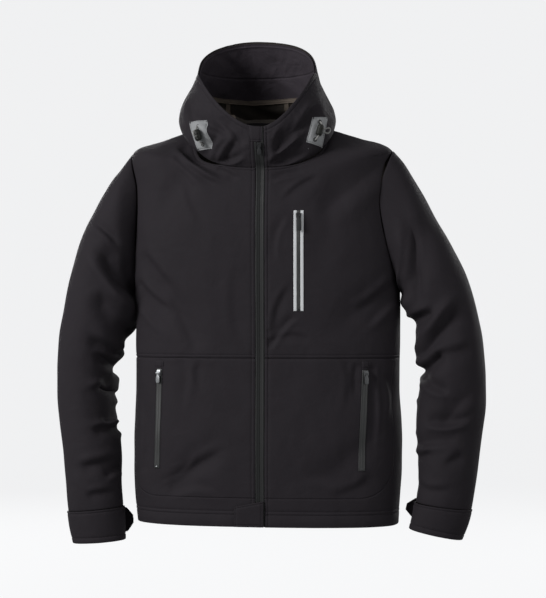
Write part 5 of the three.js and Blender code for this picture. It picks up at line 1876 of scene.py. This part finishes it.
def along_tree():
    """Small rounded pieces along paths: threads of a seam or teeth of a zip."""
    tree = bpy.data.node_groups.new("pieces_along_paths", "GeometryNodeTree")
    face = tree.interface
    face.new_socket("Paths", in_out="INPUT", socket_type="NodeSocketGeometry")
    for label, value in (("Pitch", 0.003), ("Length", 0.0026), ("Width", 0.0005), ("Height", 0.0004)):
        face.new_socket(label, in_out="INPUT", socket_type="NodeSocketFloat").default_value = value
    face.new_socket("Material", in_out="INPUT", socket_type="NodeSocketMaterial")
    face.new_socket("Pieces", in_out="OUTPUT", socket_type="NodeSocketGeometry")
    nodes, links = tree.nodes, tree.links
    given, made = nodes.new("NodeGroupInput"), nodes.new("NodeGroupOutput")
    to_curve = nodes.new("GeometryNodeMeshToCurve")
    links.new(given.outputs["Paths"], to_curve.inputs[0])
    resample = nodes.new("GeometryNodeResampleCurve")
    resample.mode = "LENGTH"
    links.new(to_curve.outputs[0], resample.inputs["Curve"])
    links.new(given.outputs["Pitch"], resample.inputs["Length"])
    bead = nodes.new("GeometryNodeMeshUVSphere")
    bead.inputs["Segments"].default_value = 6
    bead.inputs["Rings"].default_value = 5
    bead.inputs["Radius"].default_value = 0.5
    size = nodes.new("ShaderNodeCombineXYZ")
    for label, axis in (("Length", "X"), ("Width", "Y"), ("Height", "Z")):
        links.new(given.outputs[label], size.inputs[axis])
    shape = nodes.new("GeometryNodeTransform")
    links.new(bead.outputs["Mesh"], shape.inputs["Geometry"])
    links.new(size.outputs[0], shape.inputs["Scale"])
    tangent = nodes.new("GeometryNodeInputTangent")
    away = nodes.new("GeometryNodeInputNamedAttribute")
    away.data_type = "FLOAT_VECTOR"
    away.inputs["Name"].default_value = "away"
    first = nodes.new("FunctionNodeAlignRotationToVector")
    first.axis = "X"
    links.new(tangent.outputs[0], first.inputs["Vector"])
    second = nodes.new("FunctionNodeAlignRotationToVector")
    second.axis = "Z"
    second.pivot_axis = "X"
    links.new(first.outputs[0], second.inputs["Rotation"])
    links.new(away.outputs["Attribute"], second.inputs["Vector"])
    scatter = nodes.new("GeometryNodeInstanceOnPoints")
    links.new(resample.outputs[0], scatter.inputs["Points"])
    links.new(shape.outputs[0], scatter.inputs["Instance"])
    links.new(second.outputs[0], scatter.inputs["Rotation"])
    realize = nodes.new("GeometryNodeRealizeInstances")
    links.new(scatter.outputs[0], realize.inputs[0])
    paint = nodes.new("GeometryNodeSetMaterial")
    links.new(realize.outputs[0], paint.inputs["Geometry"])
    links.new(given.outputs["Material"], paint.inputs["Material"])
    links.new(paint.outputs[0], made.inputs[0])
    return tree


TREES = {}


def thread_along(name, lines, pitch, size, material):
    """Runs the paths through the tree and keeps the plain mesh that it makes."""
    if "along" not in TREES:
        TREES["along"] = along_tree()
    tree = TREES["along"]
    guide = path_object(name + "_paths", lines)
    modifier = guide.modifiers.new("pieces", "NODES")
    modifier.node_group = tree
    values = {"Pitch": pitch, "Length": size[0], "Width": size[1], "Height": size[2], "Material": material}
    for item in tree.interface.items_tree:
        if item.in_out == "INPUT" and item.name in values:
            modifier[item.identifier] = values[item.name]
    bpy.context.view_layer.update()
    graph = bpy.context.evaluated_depsgraph_get()
    mesh = bpy.data.meshes.new_from_object(guide.evaluated_get(graph))
    mesh.name = name
    for stale in [a.name for a in mesh.attributes if a.name == "away"]:
        mesh.attributes.remove(mesh.attributes[stale])
    if mesh.materials[0] is None:
        mesh.materials.clear()
        mesh.materials.append(material)
    mesh.shade_smooth()
    bpy.data.objects.remove(guide)
    obj = bpy.data.objects.new(name, mesh)
    bpy.context.scene.collection.objects.link(obj)
    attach(obj, BODY_NAME)
    return obj


def pocket_lines():
    """The pocket bags' stitch lines, from the zip along the foot, round the corner and up the side."""
    line, bend = POCKET_LINE / MM, POCKET_ROUND / MM
    turn = np.linspace(-np.pi / 2, 0, 14)
    up = np.concatenate([np.full(40, line), line + bend + bend * np.sin(turn[1:]),
                         np.linspace(line + bend + 6, 288, 30)])
    lines = []
    for name in SIDES:
        side = POCKET_SIDE[name] / MM
        across = np.concatenate([np.linspace(4, side - bend, 40), side - bend + bend * np.cos(turn[1:]),
                                 np.full(30, side)])
        s = HAND[name] * (across + ZIP_HALF) / 290
        t = np.interp(up - 721, (-721, -650, -575, -500, -426), (0, 1, 2, 3, 4))
        points = body_outside(s, t)
        normals = surface_normals(body_smooth, s, t)
        lines.append((points - normals * 0.3, normals))
    return lines


class JACKET_OT_stitching(bpy.types.Operator):
    """All the topstitching, laid along the lines that the pieces kept"""

    bl_idname = "jacket.stitching"
    bl_label = "Topstitching"

    def execute(self, context):
        sizes = context.scene.jacket_sizes
        stitch_lines.setdefault("pocket_stitching", []).extend(pocket_lines())
        size = (sizes.stitch_length, sizes.thread_width, sizes.thread_width * 0.8)
        for group, lines in stitch_lines.items():
            material = finish("thread")
            thread_along(group, lines, sizes.stitch_pitch, size, material)
        return {"FINISHED"}


# The camera stands where the photograph was taken from: turned to the wearer's left, level
VIEW_TURN = math.radians(8)
VIEW_DISTANCE = 3.2
VIEW_HEIGHT = -0.324
VIEW_LENS = 71.35
VIEW_SHIFT = (0.0092, 0.0017)


class JACKET_OT_stage(bpy.types.Operator):
    """Camera, pale floor and backdrop, and soft lights"""

    bl_idname = "jacket.stage"
    bl_label = "Stage"

    def execute(self, context):
        self.camera(context.scene)
        self.sweep(context.scene)
        strength = context.scene.jacket_sizes.light
        self.light("key", (-2.4, -2.1, 0.9), 1.3, 118 * strength)
        self.light("fill", (2.7, -1.7, 0.2), 1.8, 21 * strength)
        self.light("top", (0.3, -0.9, 2.4), 1.4, 7 * strength)
        self.light("back_left", (-1.7, 3.0, 0.9), 1.6, 62 * strength)
        self.light("back_right", (1.9, 2.9, 0.6), 1.6, 50 * strength)
        world = bpy.data.worlds.new("pale_room")
        world.use_nodes = True
        background = world.node_tree.nodes["Background"]
        background.inputs["Color"].default_value = (0.93, 0.94, 0.96, 1)
        background.inputs["Strength"].default_value = 0.32
        context.scene.world = world
        context.scene.view_settings.view_transform = "Standard"
        return {"FINISHED"}

    @staticmethod
    def camera(scene):
        data = bpy.data.cameras.new("camera")
        data.sensor_fit = "VERTICAL"
        data.sensor_height = 24.0
        data.sensor_width = 24.0
        data.lens = VIEW_LENS
        data.shift_x, data.shift_y = VIEW_SHIFT
        data.clip_end = 50.0
        obj = bpy.data.objects.new("camera", data)
        obj.location = (VIEW_DISTANCE * math.sin(VIEW_TURN), -VIEW_DISTANCE * math.cos(VIEW_TURN),
                        VIEW_HEIGHT)
        obj.rotation_euler = (math.pi / 2, 0, VIEW_TURN)
        scene.collection.objects.link(obj)
        scene.camera = obj

    @staticmethod
    def sweep(scene):
        """Round pale floor that curves up into a wall, even in tone from every side."""
        floor, reach, bend, tall = scene.jacket_sizes.floor_height, 6.0, 1.5, 6.0
        turn = np.linspace(0, np.pi / 2, 13)
        profile = [(0.01, floor), (reach - bend, floor)]
        profile += [(reach - bend + bend * math.sin(a), floor + bend * (1 - math.cos(a))) for a in turn[1:]]
        profile += [(reach, floor + tall)]
        angles = np.linspace(0, 2 * np.pi, 96, endpoint=False)
        points = np.array([(r * math.cos(a), r * math.sin(a), z) for r, z in profile for a in angles])
        index = np.arange(len(points)).reshape(len(profile), len(angles))
        right = np.roll(index, -1, axis=1)
        faces = np.stack([index[:-1], right[:-1], right[1:], index[1:]], axis=-1).reshape(-1, 4)
        obj = new_object("sweep", points, faces[:, ::-1], metres=True)
        material, tree, shader = new_material("pale_paper")
        where = tree.nodes.new("ShaderNodeTexCoord")
        tone = place_group(tree, shared("mottle", mottle_group), Vector=where.outputs["Object"], Broad=0.6,
                           Fine=60.0)
        base = tone_ramp(tree, tone, (0.075, 0.075, 0.075), (0.085, 0.085, 0.085))
        tree.links.new(base, shader.inputs["Base Color"])
        shader.inputs["Roughness"].default_value = 1.0
        shader.inputs["Specular IOR Level"].default_value = 0.0
        shader.inputs["Emission Color"].default_value = (0.985, 0.99, 1.0, 1)
        shader.inputs["Emission Strength"].default_value = 0.85
        obj.data.materials.append(material)
        obj.visible_diffuse = obj.visible_glossy = obj.visible_shadow = False

    @staticmethod
    def light(name, place, size, power):
        data = bpy.data.lights.new(name, "AREA")
        data.size = size
        data.energy = power
        obj = bpy.data.objects.new(name, data)
        obj.location = place
        aim = Vector((0, 0, -0.35)) - Vector(place)
        obj.rotation_euler = aim.to_track_quat("-Z", "Y").to_euler()
        bpy.context.scene.collection.objects.link(obj)


class JACKET_PT_panel(bpy.types.Panel):
    """Lists the jacket's sizes, colours and pieces"""

    bl_idname = "JACKET_PT_panel"
    bl_label = "Softshell jacket"
    bl_space_type = "VIEW_3D"
    bl_region_type = "UI"
    bl_category = "Jacket"

    def draw(self, context):
        layout = self.layout
        for group in (context.scene.jacket_sizes, context.scene.jacket_colours):
            column = layout.column(align=True)
            for name in group.bl_rna.properties.keys():
                if name not in ("rna_type", "name"):
                    column.prop(group, name)
        for operator in OPERATORS:
            layout.operator(operator.bl_idname)


OPERATORS = (JACKET_OT_stage, JACKET_OT_adjusters, JACKET_OT_body, JACKET_OT_sleeves, JACKET_OT_hood,
             JACKET_OT_hood_lining, JACKET_OT_main_zip, JACKET_OT_chest_zip, JACKET_OT_hand_zips,
             JACKET_OT_hem_tab, JACKET_OT_stitching)
CLASSES = (JacketColours, JacketSizes, *OPERATORS, JACKET_PT_panel)


def register():
    for cls in CLASSES:
        bpy.utils.register_class(cls)
    bpy.types.Scene.jacket_colours = bpy.props.PointerProperty(type=JacketColours)
    bpy.types.Scene.jacket_sizes = bpy.props.PointerProperty(type=JacketSizes)


def unregister():
    del bpy.types.Scene.jacket_sizes
    del bpy.types.Scene.jacket_colours
    for cls in reversed(CLASSES):
        bpy.utils.unregister_class(cls)


def main():
    """Builds the whole jacket."""
    register()
    for operator in OPERATORS:
        group, call = operator.bl_idname.split(".")
        getattr(getattr(bpy.ops, group), call)()
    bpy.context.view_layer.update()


if __name__ == "__main__":
    main()
